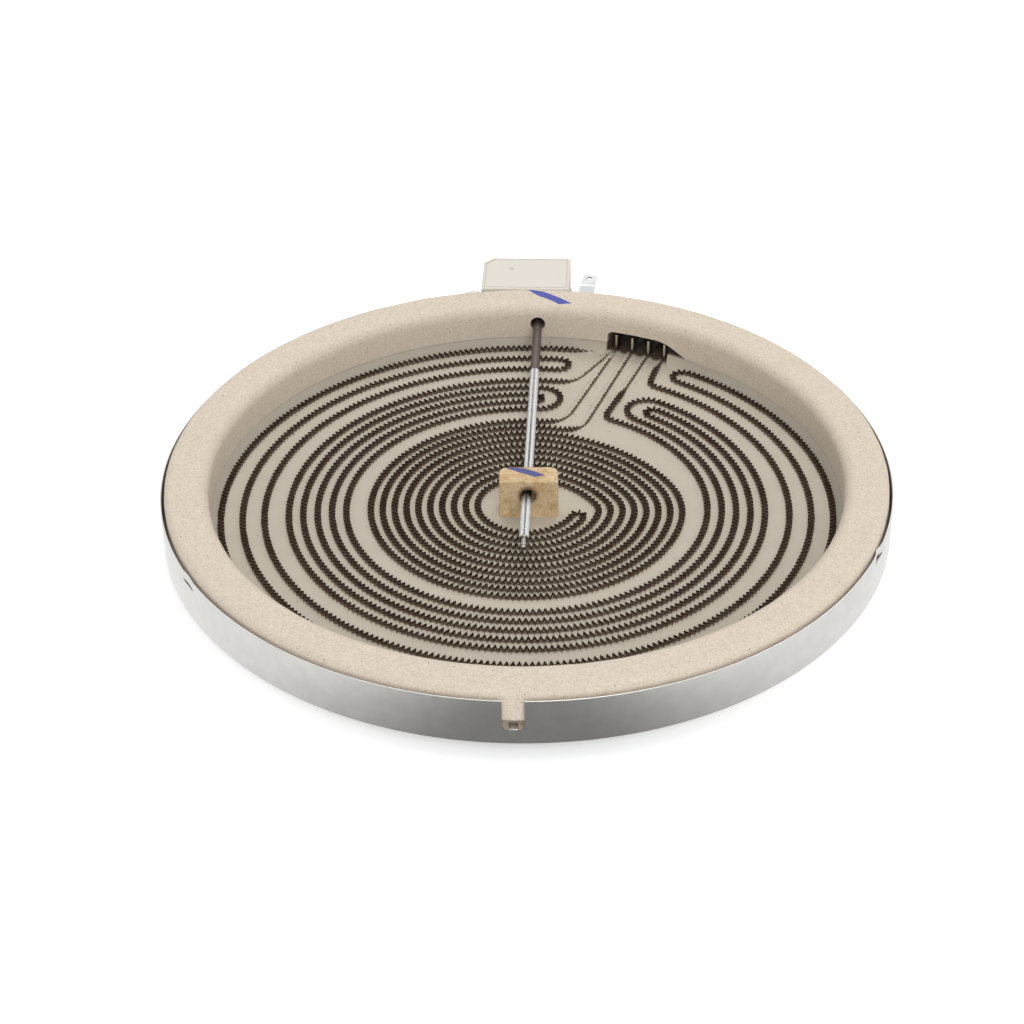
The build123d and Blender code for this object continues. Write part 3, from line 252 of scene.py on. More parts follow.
@dataclass(frozen=True)
class Finish:
    """What every finish has: a name, a colour, how it takes light, and a gloss that varies a little."""

    name: str
    colour: str
    roughness: float
    metallic: float = 0.0
    ior: float = 1.5
    slot: Slot | None = None
    gloss_patch: float = 3 * MM
    gloss_share: float = 0.2
    materials: ClassVar[dict[str, Material]] = {}

    def material(self) -> Material:
        """Material of the finish, built when it is first asked for.

        Returns:
            The material with the finish's own pattern.
        """
        if self.name in self.materials:
            return self.materials[self.name]
        made = self.materials[self.name] = bpy.data.materials.new(self.name)
        made.use_nodes = True
        tree = made.node_tree
        tree.nodes.clear()
        light = {"Roughness": self.roughness, "Metallic": self.metallic, "IOR": self.ior}
        shader = add_node(tree, "BsdfPrincipled", {"Base Color": linear(self.colour), **light})
        add_node(tree, "OutputMaterial", {"Surface": shader})
        self.detail(tree, shader, add_node(tree, "TexCoord").outputs["Object"])
        return made

    def vary_gloss(self, tree: Tree, shader: Node, pattern: Node) -> None:
        """Let the roughness follow a pattern.

        Args:
            tree: Node tree of the material.
            shader: Principled shader that gets the link.
            pattern: Node whose value runs from 0 to 1.
        """
        low, high = self.roughness * (1 - self.gloss_share), self.roughness * (1 + self.gloss_share)
        varied = add_node(tree, "MapRange", {"Value": pattern, "To Min": low, "To Max": high})
        tree.links.new(varied.outputs[0], shader.inputs["Roughness"])

    def detail(self, tree: Tree, shader: Node, place: Socket) -> None:
        """Add the finish's own pattern; the plain finish has only a faint unevenness of its gloss.

        Args:
            tree: Node tree of the material.
            shader: Principled shader that gets the links.
            place: Object coordinates.
        """
        patches = {"Vector": place, "Scale": 1 / self.gloss_patch, "Detail": 4.0}
        self.vary_gloss(tree, shader, add_node(tree, "TexNoise", patches))


@dataclass(frozen=True)
class PaintedShade:
    """Painted shade, soft and brown: a place round a centre, farther from the heater's axis than one radius
    and below one height.
    """

    centre: Vector
    reach: float
    beyond: float = -1.0
    below: float = 1.0
    soft: float = 2 * MM
    core: float = 0.45

    def cover(self, tree: Tree, place: Socket) -> Socket:
        """Mask of the painted shade.

        Args:
            tree: Node tree of the material.
            place: Object coordinates.

        Returns:
            Socket with the mask.
        """
        away = add_node(tree, "VectorMath", {0: place, 1: self.centre}, operation="DISTANCE")
        flat = add_node(tree, "VectorMath", {0: place, 1: (1, 1, 0)}, operation="MULTIPLY")
        radius = add_node(tree, "VectorMath", {0: flat}, operation="LENGTH").outputs["Value"]
        height = add_node(tree, "SeparateXYZ", {0: place}).outputs["Z"]
        return within(
            tree,
            (away.outputs["Value"], self.reach, self.core * self.reach),
            (radius, self.beyond, self.beyond + self.soft),
            (height, self.below, self.below - self.soft / 2),
        )


@dataclass(frozen=True)
class PressedMineral(Finish):
    """Mineral grains pressed and fired: matt and speckled, browned by an attribute that is partly soot and
    partly painted shade, and by painted shade in recesses and at a seam.
    """

    speck_colour: str = "#8A7462"
    speck: float = 0.9 * MM
    speck_share: float = 0.10
    speck_spread: float = 2.2
    speck_lot: float = 0.02
    speck_edge: tuple[float, float] = (0.34, 0.16)
    cloud_colour: str = "#CDBFAE"
    cloud: float = 9 * MM
    cloud_share: float = 0.3
    cloud_edge: tuple[float, float] = (0.42, 0.68)
    grain: float = 0.45 * MM
    grain_shade: float = 0.05
    grain_depth: float = 0.2 * MM
    grain_relief: float = 0.5
    grain_spread: tuple[float, float] = (0.3, 0.7)
    soot_and_shade_colour: str = "#4B3D30"
    soot_and_shade_edge: tuple[float, float] = (0.40, 1.15)
    crumb: float = 0.7 * MM
    crumb_share: float = 0.5
    paint: tuple[PaintStroke, ...] = ()
    painted_shades: tuple[PaintedShade, ...] = ()
    shaded_seam: tuple[float, float] | None = None

    def specks(self, tree: Tree, place: Socket) -> Socket:
        """Mask of the scattered flakes, some of them fainter than others.

        Args:
            tree: Node tree of the material.
            place: Object coordinates.

        Returns:
            Socket with the mask.
        """
        warp = add_node(tree, "TexNoise", {"Vector": place, "Scale": 1 / self.speck, "Detail": 2.0})
        shaken = {0: warp.outputs["Color"], 1: (self.speck,) * 3, 2: place}
        bent = add_node(tree, "VectorMath", shaken, operation="MULTIPLY_ADD")
        cells = add_node(tree, "TexVoronoi", {"Vector": bent, "Scale": 1 / (self.speck_spread * self.speck)})
        lot, strength, _ = add_node(tree, "SeparateColor", {0: cells.outputs["Color"]}).outputs
        lots = self.speck_share + self.speck_lot, self.speck_share
        chosen = within(tree, (cells, *self.speck_edge), (lot, *lots))
        return add_node(tree, "Math", {0: chosen, 1: strength}, operation="MULTIPLY").outputs[0]

    def soot_and_shade(self, tree: Tree, place: Socket) -> Socket:
        """Mask of soot and painted shade: the attribute, partly real soot and partly painted shade, then the
        painted shade of the listed places and of the seam.

        Args:
            tree: Node tree of the material.
            place: Object coordinates.

        Returns:
            Socket with the mask.
        """
        # Browning from the beds' attribute: partly real soot, partly painted shade round the strips' foot.
        given = add_node(tree, "Attribute", attribute_name="soot_and_shade").outputs["Fac"]
        crumbs = add_node(tree, "TexNoise", {"Vector": place, "Scale": 1 / self.crumb, "Detail": 3.0})
        ragged = add_node(tree, "Math", {0: crumbs, 1: self.crumb_share, 2: given}, operation="MULTIPLY_ADD")
        mask = within(tree, (ragged, *self.soot_and_shade_edge))
        # Painted shade in the arch, the rod's hole, the recess under the arch and round the bore, from the
        # listed places.
        others = [painted_shade.cover(tree, place) for painted_shade in self.painted_shades]
        # Painted shade on the base just under the ring's foot.
        if self.shaded_seam:
            height = add_node(tree, "SeparateXYZ", {0: place}).outputs["Z"]
            others.append(within(tree, (height, *self.shaded_seam)))
        for other in others:
            mask = add_node(tree, "Math", {0: mask, 1: other}, operation="MAXIMUM").outputs[0]
        return mask

    def detail(self, tree: Tree, shader: Node, place: Socket) -> None:
        """Add clouds, grain, specks, soot with painted shade, and any paint, from the lowest coat to the
        topmost.

        Args:
            tree: Node tree of the material.
            shader: Principled shader that gets the links.
            place: Object coordinates.
        """
        clouds = add_node(tree, "TexNoise", {"Vector": place, "Scale": 1 / self.cloud, "Detail": 5.0})
        cloudy = {0: within(tree, (clouds, *self.cloud_edge)), 1: self.cloud_share}
        share = add_node(tree, "Math", cloudy, operation="MULTIPLY")
        base = coated(tree, self.colour, (share, self.cloud_colour))
        grains = add_node(tree, "TexNoise", {"Vector": place, "Scale": 1 / self.grain, "Detail": 4.0})
        spread = dict(zip(("From Min", "From Max"), self.grain_spread))
        shades = {"To Min": 1 - 2 * self.grain_shade, "To Max": 1 + 2 * self.grain_shade}
        shade = add_node(tree, "MapRange", {"Value": grains, **spread, **shades})
        grained = add_node(tree, "VectorMath", {0: base, "Scale": shade}, operation="SCALE").outputs[0]
        coats = [(self.specks(tree, place), self.speck_colour), (self.soot_and_shade(tree, place), self.soot_and_shade_colour)]
        coats += [(stroke.cover(tree, place), stroke.colour) for stroke in self.paint]
        tree.links.new(coated(tree, grained, *coats), shader.inputs["Base Color"])
        relief = {"Height": grains, "Distance": self.grain_depth, "Strength": self.grain_relief}
        tree.links.new(add_node(tree, "Bump", relief).outputs[0], shader.inputs["Normal"])


@dataclass(frozen=True)
class RolledSheet(Finish):
    """Hot-dip coated steel sheet: a dull metal with broad faint spangle and drawing marks round the wall."""

    gloss_share: float = 0.25
    spangle: float = 6 * MM
    spangle_colour: str = "#9DA0A0"
    spangle_edge: tuple[float, float] = (0.35, 0.70)
    mark: float = 0.5 * MM
    mark_squeeze: float = 0.02

    def detail(self, tree: Tree, shader: Node, place: Socket) -> None:
        """Add spangle to the colour, and fine drawing marks round the axis to the gloss.

        Args:
            tree: Node tree of the material.
            shader: Principled shader that gets the links.
            place: Object coordinates.
        """
        cells = add_node(tree, "TexNoise", {"Vector": place, "Scale": 1 / self.spangle, "Detail": 3.0})
        spangled = within(tree, (cells, *self.spangle_edge))
        colour = coated(tree, self.colour, (spangled, self.spangle_colour))
        tree.links.new(colour, shader.inputs["Base Color"])
        squeeze = (self.mark_squeeze, self.mark_squeeze, 1.0)
        flat = add_node(tree, "Mapping", {"Vector": place, "Scale": squeeze})
        marks = add_node(tree, "TexNoise", {"Vector": flat, "Scale": 1 / self.mark, "Detail": 3.0})
        self.vary_gloss(tree, shader, marks)


@dataclass(frozen=True)
class OxidisedStrip(Finish):
    """Iron-chrome-aluminium strip: brown oxide, painted shade darkening its upper edge, and dust with painted
    light at its foot in the dish.
    """

    rust_colour: str = "#9A8676"
    rust_patch: float = 7 * MM
    rust_edge: tuple[float, float] = (0.45, 0.65)
    top_shade_colour: str = "#574B41"
    top_shade_heights: tuple[float, float] = (11.2 * MM, 12.2 * MM)
    dust_and_light_colour: str = "#94836E"
    dust_and_light_foot: float = 10.4 * MM
    dust_and_light_top: float = 11.3 * MM
    crumb: float = 0.8 * MM

    def detail(self, tree: Tree, shader: Node, place: Socket) -> None:
        """Add brown patches along the strip, painted shade on its upper edge, and dull dust with painted
        light at its foot.

        Args:
            tree: Node tree of the material.
            shader: Principled shader that gets the links.
            place: Object coordinates.
        """
        patches = add_node(tree, "TexNoise", {"Vector": place, "Scale": 1 / self.rust_patch, "Detail": 2.0})
        crumbs = add_node(tree, "TexNoise", {"Vector": place, "Scale": 1 / self.crumb, "Detail": 2.0})
        height = add_node(tree, "SeparateXYZ", {0: place}).outputs["Z"]
        ragged = add_node(tree, "Math", {0: crumbs, 1: -self.crumb, 2: height}, operation="MULTIPLY_ADD")
        shift = self.crumb / 2
        # Paler and duller at the foot: dust, which also paints the light on the fronts of the bends.
        dust_and_light = within(tree, (ragged, self.dust_and_light_top - shift, self.dust_and_light_foot - shift))
        brown = within(tree, (patches, *self.rust_edge)), self.rust_colour
        # Painted shade: a darker upper edge stands in for the shade inside the strip's bends.
        edge = within(tree, (height, *self.top_shade_heights)), self.top_shade_colour
        colour = coated(tree, self.colour, brown, edge, (dust_and_light, self.dust_and_light_colour))
        tree.links.new(colour, shader.inputs["Base Color"])
        bare = add_node(tree, "MapRange", {"Value": dust_and_light, "To Min": self.metallic, "To Max": 0.0})
        tree.links.new(bare.outputs[0], shader.inputs["Metallic"])


@dataclass(frozen=True)
class DrawnQuartz(Finish):
    """Fused quartz tube: clear over the rod and by the block, with a painted highlight down its flanks, where
    it lets less light through and looks milky.
    """

    yaw: float = ROD_YAW
    offset: float = ROD_OFFSET
    clear_half: float = 0.2 * MM
    painted_highlight_half: float = 0.6 * MM
    painted_highlight_share: float = 0.6
    block_place: float = -4 * MM
    block_reach: tuple[float, float] = (4 * MM, 17 * MM)

    def detail(self, tree: Tree, shader: Node, place: Socket) -> None:
        """Let light through in the middle; along the flanks, away from the block, let less through, which
        paints a milky highlight.

        Args:
            tree: Node tree of the material.
            shader: Principled shader that gets the links.
            place: Object coordinates.
        """
        turn = {"Vector": place, "Location": (self.offset, 0, 0), "Rotation": (0, 0, -math.radians(self.yaw))}
        laid = add_node(tree, "Mapping", turn, vector_type="TEXTURE")
        across, along, _ = add_node(tree, "SeparateXYZ", {0: laid}).outputs
        away = add_node(tree, "Math", {0: across}, operation="ABSOLUTE")
        from_block = add_node(tree, "Math", {0: along, 1: self.block_place}, operation="SUBTRACT")
        gap = add_node(tree, "Math", {0: from_block}, operation="ABSOLUTE")
        # Painted highlight: the flanks away from the block turn milky in place of the lamps' reflections.
        painted_highlight = within(tree, (away, self.clear_half, self.painted_highlight_half), (gap, *self.block_reach))
        share = add_node(tree, "Math", {0: painted_highlight, 1: self.painted_highlight_share}, operation="MULTIPLY")
        clear = add_node(tree, "Math", {0: 1.0, 1: share}, operation="SUBTRACT")
        tree.links.new(clear.outputs[0], shader.inputs["Transmission Weight"])


# ---------------------------------------------------------------- mesh tools
def polar(radius: float, azimuth: float, height: float = 0.0) -> Vector:
    """Point at a radius, an azimuth in degrees and a height."""
    angle = math.radians(azimuth)
    return Vector((radius * math.cos(angle), radius * math.sin(angle), height))


def chain(bm: Mesh, points: Iterable[Vector]) -> list[bmesh.types.BMVert]:
    """Join points in a row with edges.

    Args:
        bm: Mesh that gets them.
        points: Points in order.

    Returns:
        The new vertices in order.
    """
    verts = [bm.verts.new(point) for point in points]
    for first, second in zip(verts, verts[1:]):
        bm.edges.new((first, second))
    return verts


def rounded(bm: Mesh, geom: Sequence, offset: float, segments: int) -> None:
    """Round some edges, or some corners of loose edges.

    Args:
        bm: Mesh that holds them.
        geom: The edges, or the corners' vertices.
        offset: Size of the rounding.
        segments: Edges across it.
    """
    affect = "VERTICES" if isinstance(geom[0], bmesh.types.BMVert) else "EDGES"
    bmesh.ops.bevel(
        bm, geom=geom, offset=offset, offset_type="OFFSET", segments=segments, profile=0.5, affect=affect,
        material=-1,
    )


def rounded_section(corners: Corners, closed: bool = True, segments: int = 5) -> Mesh:
    """Half section in the XZ plane whose corners are rounded.

    Args:
        corners: Radius, height and rounding of each corner.
        closed: Whether the last corner joins the first.
        segments: Edges in each rounding.

    Returns:
        Mesh that holds the section's edges.
    """
    bm = bmesh.new()
    verts = chain(bm, [Vector((radius, 0, height)) for radius, height, _ in corners])
    if closed:
        bm.edges.new((verts[-1], verts[0]))
    for vert, (_, _, rounding) in zip(verts, corners):
        if rounding:
            rounded(bm, [vert], rounding, segments)
    return bm


def lathe(bm: Mesh, steps: int = LATHE_STEPS) -> Mesh:
    """Spin a section a full turn about the Z axis, and point its faces outwards.

    Args:
        bm: Mesh that holds the section's edges.
        steps: Faces round the turn.

    Returns:
        The same mesh.
    """
    bmesh.ops.spin(
        bm, geom=bm.verts[:] + bm.edges[:], cent=(0, 0, 0), axis=UP, dvec=(0, 0, 0),
        angle=math.radians(FULL_TURN), steps=steps, use_merge=True,
    )
    bmesh.ops.remove_doubles(bm, verts=bm.verts, dist=WELD)
    bmesh.ops.dissolve_degenerate(bm, edges=bm.edges, dist=WELD)
    bmesh.ops.recalc_face_normals(bm, faces=bm.faces)
    return bm


def deepened(bm: Mesh, depth: float) -> Mesh:
    """Fill a closed outline in the XZ plane and give it a depth along Y.

    Args:
        bm: Mesh that holds the outline's edges.
        depth: Depth of the solid.

    Returns:
        The same mesh, closed.
    """
    face = bmesh.ops.contextual_create(bm, geom=bm.edges[:])["faces"]
    deep = bmesh.ops.extrude_face_region(bm, geom=face)["geom"]
    verts = [item for item in deep if isinstance(item, bmesh.types.BMVert)]
    bmesh.ops.translate(bm, vec=(0, depth, 0), verts=verts)
    bmesh.ops.recalc_face_normals(bm, faces=bm.faces)
    return bm


def block_between(low: Sequence[float], high: Sequence[float]) -> Mesh:
    """Box between two corners.

    Args:
        low: Lowest corner.
        high: Highest corner.

    Returns:
        Mesh of the box.
    """
    bm = bmesh.new()
    bmesh.ops.create_cube(bm, size=1)
    size = Vector(high) - Vector(low)
    bmesh.ops.scale(bm, vec=size, verts=bm.verts)
    bmesh.ops.translate(bm, vec=Vector(low) + size / 2, verts=bm.verts)
    return bm


def pin_between(start: Vector, end: Vector, radius: float, steps: int = 48) -> Mesh:
    """Solid cylinder between two points.

    Args:
        start: Middle of the first end.
        end: Middle of the other end.
        radius: Radius of the cylinder.
        steps: Faces round it.

    Returns:
        Mesh of the cylinder.
    """
    way = end - start
    bm = bmesh.new()
    bmesh.ops.create_cone(bm, cap_ends=True, segments=steps, radius1=radius, radius2=radius, depth=way.length)
    turn = UP.rotation_difference(way).to_matrix().to_4x4()
    bmesh.ops.transform(bm, matrix=Matrix.Translation(start + way / 2) @ turn, verts=bm.verts)
    return bm


def moved(bm: Mesh, matrix: Matrix) -> Mesh:
    """Apply a matrix to a whole mesh and give it back."""
    bmesh.ops.transform(bm, matrix=matrix, verts=bm.verts)
    return bm


def loose_object(name: str, bm: Mesh) -> Thing:
    """Put a mesh into the scene as an object of its own.

    Args:
        name: Name of the object.
        bm: Its mesh, which is used up.

    Returns:
        The object.
    """
    mesh = bpy.data.meshes.new(name)
    bm.to_mesh(mesh)
    bm.free()
    made = bpy.data.objects.new(name, mesh)
    bpy.context.scene.collection.objects.link(made)
    return made


def carved(bm: Mesh, tools: Sequence[Mesh], carving: Carving = Carving.CUT) -> Mesh:
    """Cut tools out of a closed mesh, or join them to it.

    Args:
        bm: Mesh that is carved.
        tools: Closed meshes that meet it.
        carving: What they do to it.

    Returns:
        The resulting mesh.
    """
    work = loose_object("work", bm)
    helpers = [loose_object("tool", tool) for tool in tools]
    for helper in helpers:
        cut = work.modifiers.new("cut", "BOOLEAN")
        cut.operation = carving.value
        cut.solver = "EXACT"
        cut.object = helper
    evaluated = work.evaluated_get(bpy.context.evaluated_depsgraph_get())
    result = bmesh.new()
    result.from_mesh(evaluated.to_mesh())
    evaluated.to_mesh_clear()
    for thing in [work, *helpers]:
        mesh = thing.data
        bpy.data.objects.remove(thing)
        bpy.data.meshes.remove(mesh)
    bmesh.ops.remove_doubles(result, verts=result.verts, dist=WELD)
    return result


def add_piece(name: str, bm: Mesh, finish: Finish, *stands_for: str, crease: float = 32.0) -> None:
    """Turn a finished mesh into a piece that rides on the heater's body.

    Args:
        name: Name of the piece.
        bm: Its mesh, in place.
        finish: Its finish, which names the record's slot too.
        stands_for: Nodes of the frame that it replaces.
        crease: Angle in degrees above which an edge stays sharp.
    """
    for face in bm.faces:
        face.smooth = True
    for edge in bm.edges:
        edge.smooth = len(edge.link_faces) != 2 or edge.calc_face_angle(0) < math.radians(crease)
    piece = loose_object(name, bm)
    piece.data.materials.append(finish.material())
    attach(piece, HEATER_BODY)
    if stands_for:
        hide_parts(*stands_for)
    LOG.info("%s: %d faces", name, len(piece.data.polygons))


def roughened(bm: Mesh, depth: float, size: float, worn: Callable[[Vector], bool]) -> None:
    """Move worn vertices a little along their normals, by a smooth noise.

    Args:
        bm: Mesh that is made uneven.
        depth: Largest move.
        size: Size of the noise's bumps.
        worn: Says which places are uneven.
    """
    bm.normal_update()
    for vert in bm.verts:
        if worn(vert.co):
            vert.co += vert.normal * depth * noise.noise(vert.co / size)


# ---------------------------------------------------------------- shared places
@dataclass(frozen=True)
class Layout:
    """Places that several pieces share, from the frame's own boxes."""

    tray_high: Vector = field(default_factory=lambda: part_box("tray")[1])
    ring_low: Vector = field(default_factory=lambda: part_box("insulation_ring")[0])
    ring_high: Vector = field(default_factory=lambda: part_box("insulation_ring")[1])
    dish_floor: float = 10.3 * MM
    ring_width: float = 18.5 * MM
    sheet: float = 0.6 * MM
    ring_ledge: float = 0.5 * MM
    cove: float = 1.9 * MM
    rod_offset: float = ROD_OFFSET
    rod_yaw: float = ROD_YAW
    rod_height: float = 21.4 * MM
    first_slot: float = 267.8
    slot_count: int = 3
    slot_depth: float = 14.1 * MM
    slot_width: float = 8.6 * MM
    terminal_azimuth: float = TERMINAL_AZIMUTH
    terminal_pitch: float = 7.9 * MM
    pin_setback: float = 2.3 * MM
    shoulder: float = 6.0 * MM
    deep_width: float = 15.0 * MM
    wall_lean: float = 0.3 * MM

    @property
    def tray_radius(self) -> float:
        """Outer radius of the tray."""
        return self.tray_high.x

    @property
    def rim(self) -> float:
        """Height of the tray's rim."""
        return self.tray_high.z

    @property
    def wall(self) -> float:
        """Inner radius of the tray's wall."""
        return self.tray_radius - self.sheet

    @property
    def deep_radius(self) -> float:
        """Radius of the tray's deep middle."""
        return self.tray_radius - self.deep_width

    @property
    def slot_foot(self) -> float:
        """Height of the foot of the holder slots."""
        return self.rim - self.slot_depth

    @property
    def ring_outer(self) -> float:
        """Outer radius of the insulation ring."""
        return self.ring_high.x

    @property
    def ring_inner(self) -> float:
        """Inner radius of the insulation ring."""
        return self.ring_outer - self.ring_width

    @property
    def dish_radius(self) -> float:
        """Radius of the dish's flat floor."""
        return self.ring_inner - self.ring_ledge - self.cove

    @property
    def pin_radius(self) -> float:
        """Radius at which the terminal pins stand."""
        return self.ring_inner + self.pin_setback

    def rod_matrix(self) -> Matrix:
        """Frame of the limiter, whose rod lies along Y."""
        turn = Matrix.Rotation(-math.radians(self.rod_yaw), 4, "Z")
        return Matrix.Translation((self.rod_offset, 0, 0)) @ turn

    def along_rod(self, node: str, radius: float) -> tuple[float, float]:
        """Where a round piece on the rod's axis starts and ends along it.

        Args:
            node: Name of the piece's node.
            radius: Radius at its ends.

        Returns:
            Start and end along the rod.
        """
        low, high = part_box(node)
        yaw = math.radians(self.rod_yaw)
        tilt = radius * math.sin(yaw)
        return (low.y + tilt) / math.cos(yaw), (high.y - tilt) / math.cos(yaw)

    def terminal_matrix(self) -> Matrix:
        """Frame of the terminals, which look out along Y."""
        return self.azimuth_matrix(self.terminal_azimuth)

    def azimuth_matrix(self, azimuth: float) -> Matrix:
        """Frame that looks out along Y at an azimuth in degrees."""
        return Matrix.Rotation(math.radians(azimuth - 90), 4, "Z")

    def slot_azimuths(self) -> list[float]:
        """Azimuths of the holder slots in degrees."""
        return [self.first_slot + i * FULL_TURN / self.slot_count for i in range(self.slot_count)]

    def pin_place(self, pin: Pin, across: float = 0.0, along: float = 0.0) -> Vector:
        """Place beside a terminal's pin.

        Args:
            pin: The terminal.
            across: Step to the right.
            along: Step outwards.

        Returns:
            Point in plan.
        """
        x = (pin.value - (len(Pin) - 1) / 2) * self.terminal_pitch + across
        return self.terminal_matrix() @ Vector((x, self.pin_radius + along, 0))


# ---------------------------------------------------------------- routes of the ribbons
@dataclass(frozen=True)
class Arc:
    """Arc of a route in plan, with its angles in degrees."""

    radius: float
    start: float
    sweep: float
    centre: Vector = field(default_factory=Vector)

    @property
    def length(self) -> float:
        """Length of the arc."""
        return abs(math.radians(self.sweep)) * self.radius

    def at(self, distance: float) -> tuple[Vector, Vector]:
        """Walk along the arc.

        Args:
            distance: Distance from its start.

        Returns:
            Place and heading there.
        """
        angle = self.start + self.sweep * distance / self.length
        outward = polar(1, angle)
        heading = UP.cross(outward) * math.copysign(1, self.sweep)
        return self.centre + outward * self.radius, heading

    def backwards(self) -> "Arc":
        """The same arc, run the other way."""
        return Arc(self.radius, self.start + self.sweep, -self.sweep, self.centre)


@dataclass(frozen=True)
class Straight:
    """Straight run of a route in plan."""

    start: Vector
    end: Vector

    @property
    def length(self) -> float:
        """Length of the run."""
        return (self.end - self.start).length

    def at(self, distance: float) -> tuple[Vector, Vector]:
        """Place and heading at a distance from the run's start."""
        heading = (self.end - self.start).normalized()
        return self.start + heading * distance, heading

    def backwards(self) -> "Straight":
        """The same run, run the other way."""
        return Straight(self.end, self.start)


Leg = Arc | Straight


@dataclass(frozen=True)
class Route:
    """Plan of one circuit: lead in, tracks, lead out, with a soft bend where a lead meets a track."""

    lead_in: tuple[Leg, ...]
    tracks: tuple[Leg, ...]
    lead_out: tuple[Leg, ...]
    bend: float = 9 * MM

    @property
    def legs(self) -> tuple[Leg, ...]:
        """All legs in order."""
        return self.lead_in + self.tracks + self.lead_out

    @property
    def length(self) -> float:
        """Length of the whole route."""
        return sum(leg.length for leg in self.legs)

    @property
    def joints(self) -> tuple[float, float]:
        """Distances at which the tracks start and end."""
        first = sum(leg.length for leg in self.lead_in)
        return first, first + sum(leg.length for leg in self.tracks)

    def at(self, distance: float) -> tuple[Vector, Vector]:
        """Walk along the route, eased round the two joints.

        Args:
            distance: Distance from its start.

        Returns:
            Place and heading there.
        """
        for joint in self.joints:
            if abs(distance - joint) < self.bend:
                before, corner, after = (self.sharp(joint + step * self.bend)[0] for step in (-1, 0, 1))
                share = (distance - joint) / (2 * self.bend) + 0.5
                first, second = before.lerp(corner, share), corner.lerp(after, share)
                return first.lerp(second, share), (second - first).normalized()
        return self.sharp(distance)

    def sharp(self, distance: float) -> tuple[Vector, Vector]:
        """Walk along the route with its joints as sharp corners.

        Args:
            distance: Distance from its start.

        Returns:
            Place and heading there.
        """
        left = distance
        for leg in self.legs:
            if left <= leg.length:
                return leg.at(left)
            left -= leg.length
        return self.legs[-1].at(self.legs[-1].length)

    def rise(self, distance: float, run: float) -> float:
        """Share of the full wave: 0 on the leads, 1 on the tracks, eased at the joints.

        Args:
            distance: Distance from the route's start.
            run: Length over which it is eased.

        Returns:
            The share.
        """
        first, last = self.joints
        inside = min(distance - first, last - distance)
        share = min(max(inside / run + 0.5, 0.0), 1.0)
        return share * share * (3 - 2 * share)


def track(radius: float, start: float, end: float) -> Arc:
    """Arc about the heater's axis between two azimuths in degrees."""
    return Arc(radius, start, end - start)


def hairpin(first: float, second: float, azimuth: float, bulge: Bulge) -> Arc:
    """Half turn that joins two tracks at an azimuth.

    Args:
        first: Radius of the track that ends.
        second: Radius of the track that starts.
        azimuth: Azimuth of the joint in degrees.
        bulge: Way in which it bulges.

    Returns:
        The arc, from the first track to the second.
    """
    centre = polar((first + second) / 2, azimuth)
    start, side = (azimuth, 1) if first > second else (azimuth + 180, -1)
    return Arc(abs(first - second) / 2, start, side * bulge.value * 180, centre)


# ---------------------------------------------------------------- heating ribbons
@dataclass(frozen=True)
class Corrugation:
    """Wave of a strip: across is half its width in plan."""

    pitch: float = 2.5 * MM
    across: float = 1.4 * MM
    lead_pitch: float = 2.7 * MM
    lead_across: float = 0.7 * MM
    ease: float = 9 * MM
    tip: float = 24.0
    wander_run: float = 6 * MM
    wander_across: float = 0.12
    wander_pitch: float = 0.04
    lift_run: float = 3 * MM
    lift: float = 0.06
    lead_lift: float = 0.7
    lift_plane: int = 5

    def phases(self) -> tuple[float, ...]:
        """Phases in degrees of the points of one wave: three round each tip, none on the flanks."""
        return tuple(middle + side * self.tip for middle in (90.0, 270.0) for side in (-1, 0, 1))


@dataclass(frozen=True)
class BedLine:
    """One line along a strip's bed: distance from its middle, height, and browning that is partly soot and
    partly painted shade, by leads and by tracks.
    """

    lead: tuple[float, float, float]
    track: tuple[float, float, float]

    def at(self, share: float) -> tuple[float, float, float]:
        """Distance, height and soot where the wave has grown to a share of its full size."""
        return tuple(low + (high - low) * share for low, high in zip(self.lead, self.track))


# The third figure of each line is its browning: partly real soot, partly painted shade round the strip's
# foot.
BED_MIDDLE = BedLine(lead=(0.0, 0.20 * MM, 0.85), track=(0.0, 0.06 * MM, 0.8))
BED_FLANK = (
    BedLine(lead=(0.75 * MM, 0.40 * MM, 0.3), track=(0.90 * MM, 0.05 * MM, 0.35)),
    BedLine(lead=(1.70 * MM, 0.80 * MM, 0.15), track=(1.45 * MM, 0.02 * MM, 0.0)),
    BedLine(lead=(3.10 * MM, -0.15 * MM, 0.0), track=(2.00 * MM, -0.08 * MM, 0.0)),
)


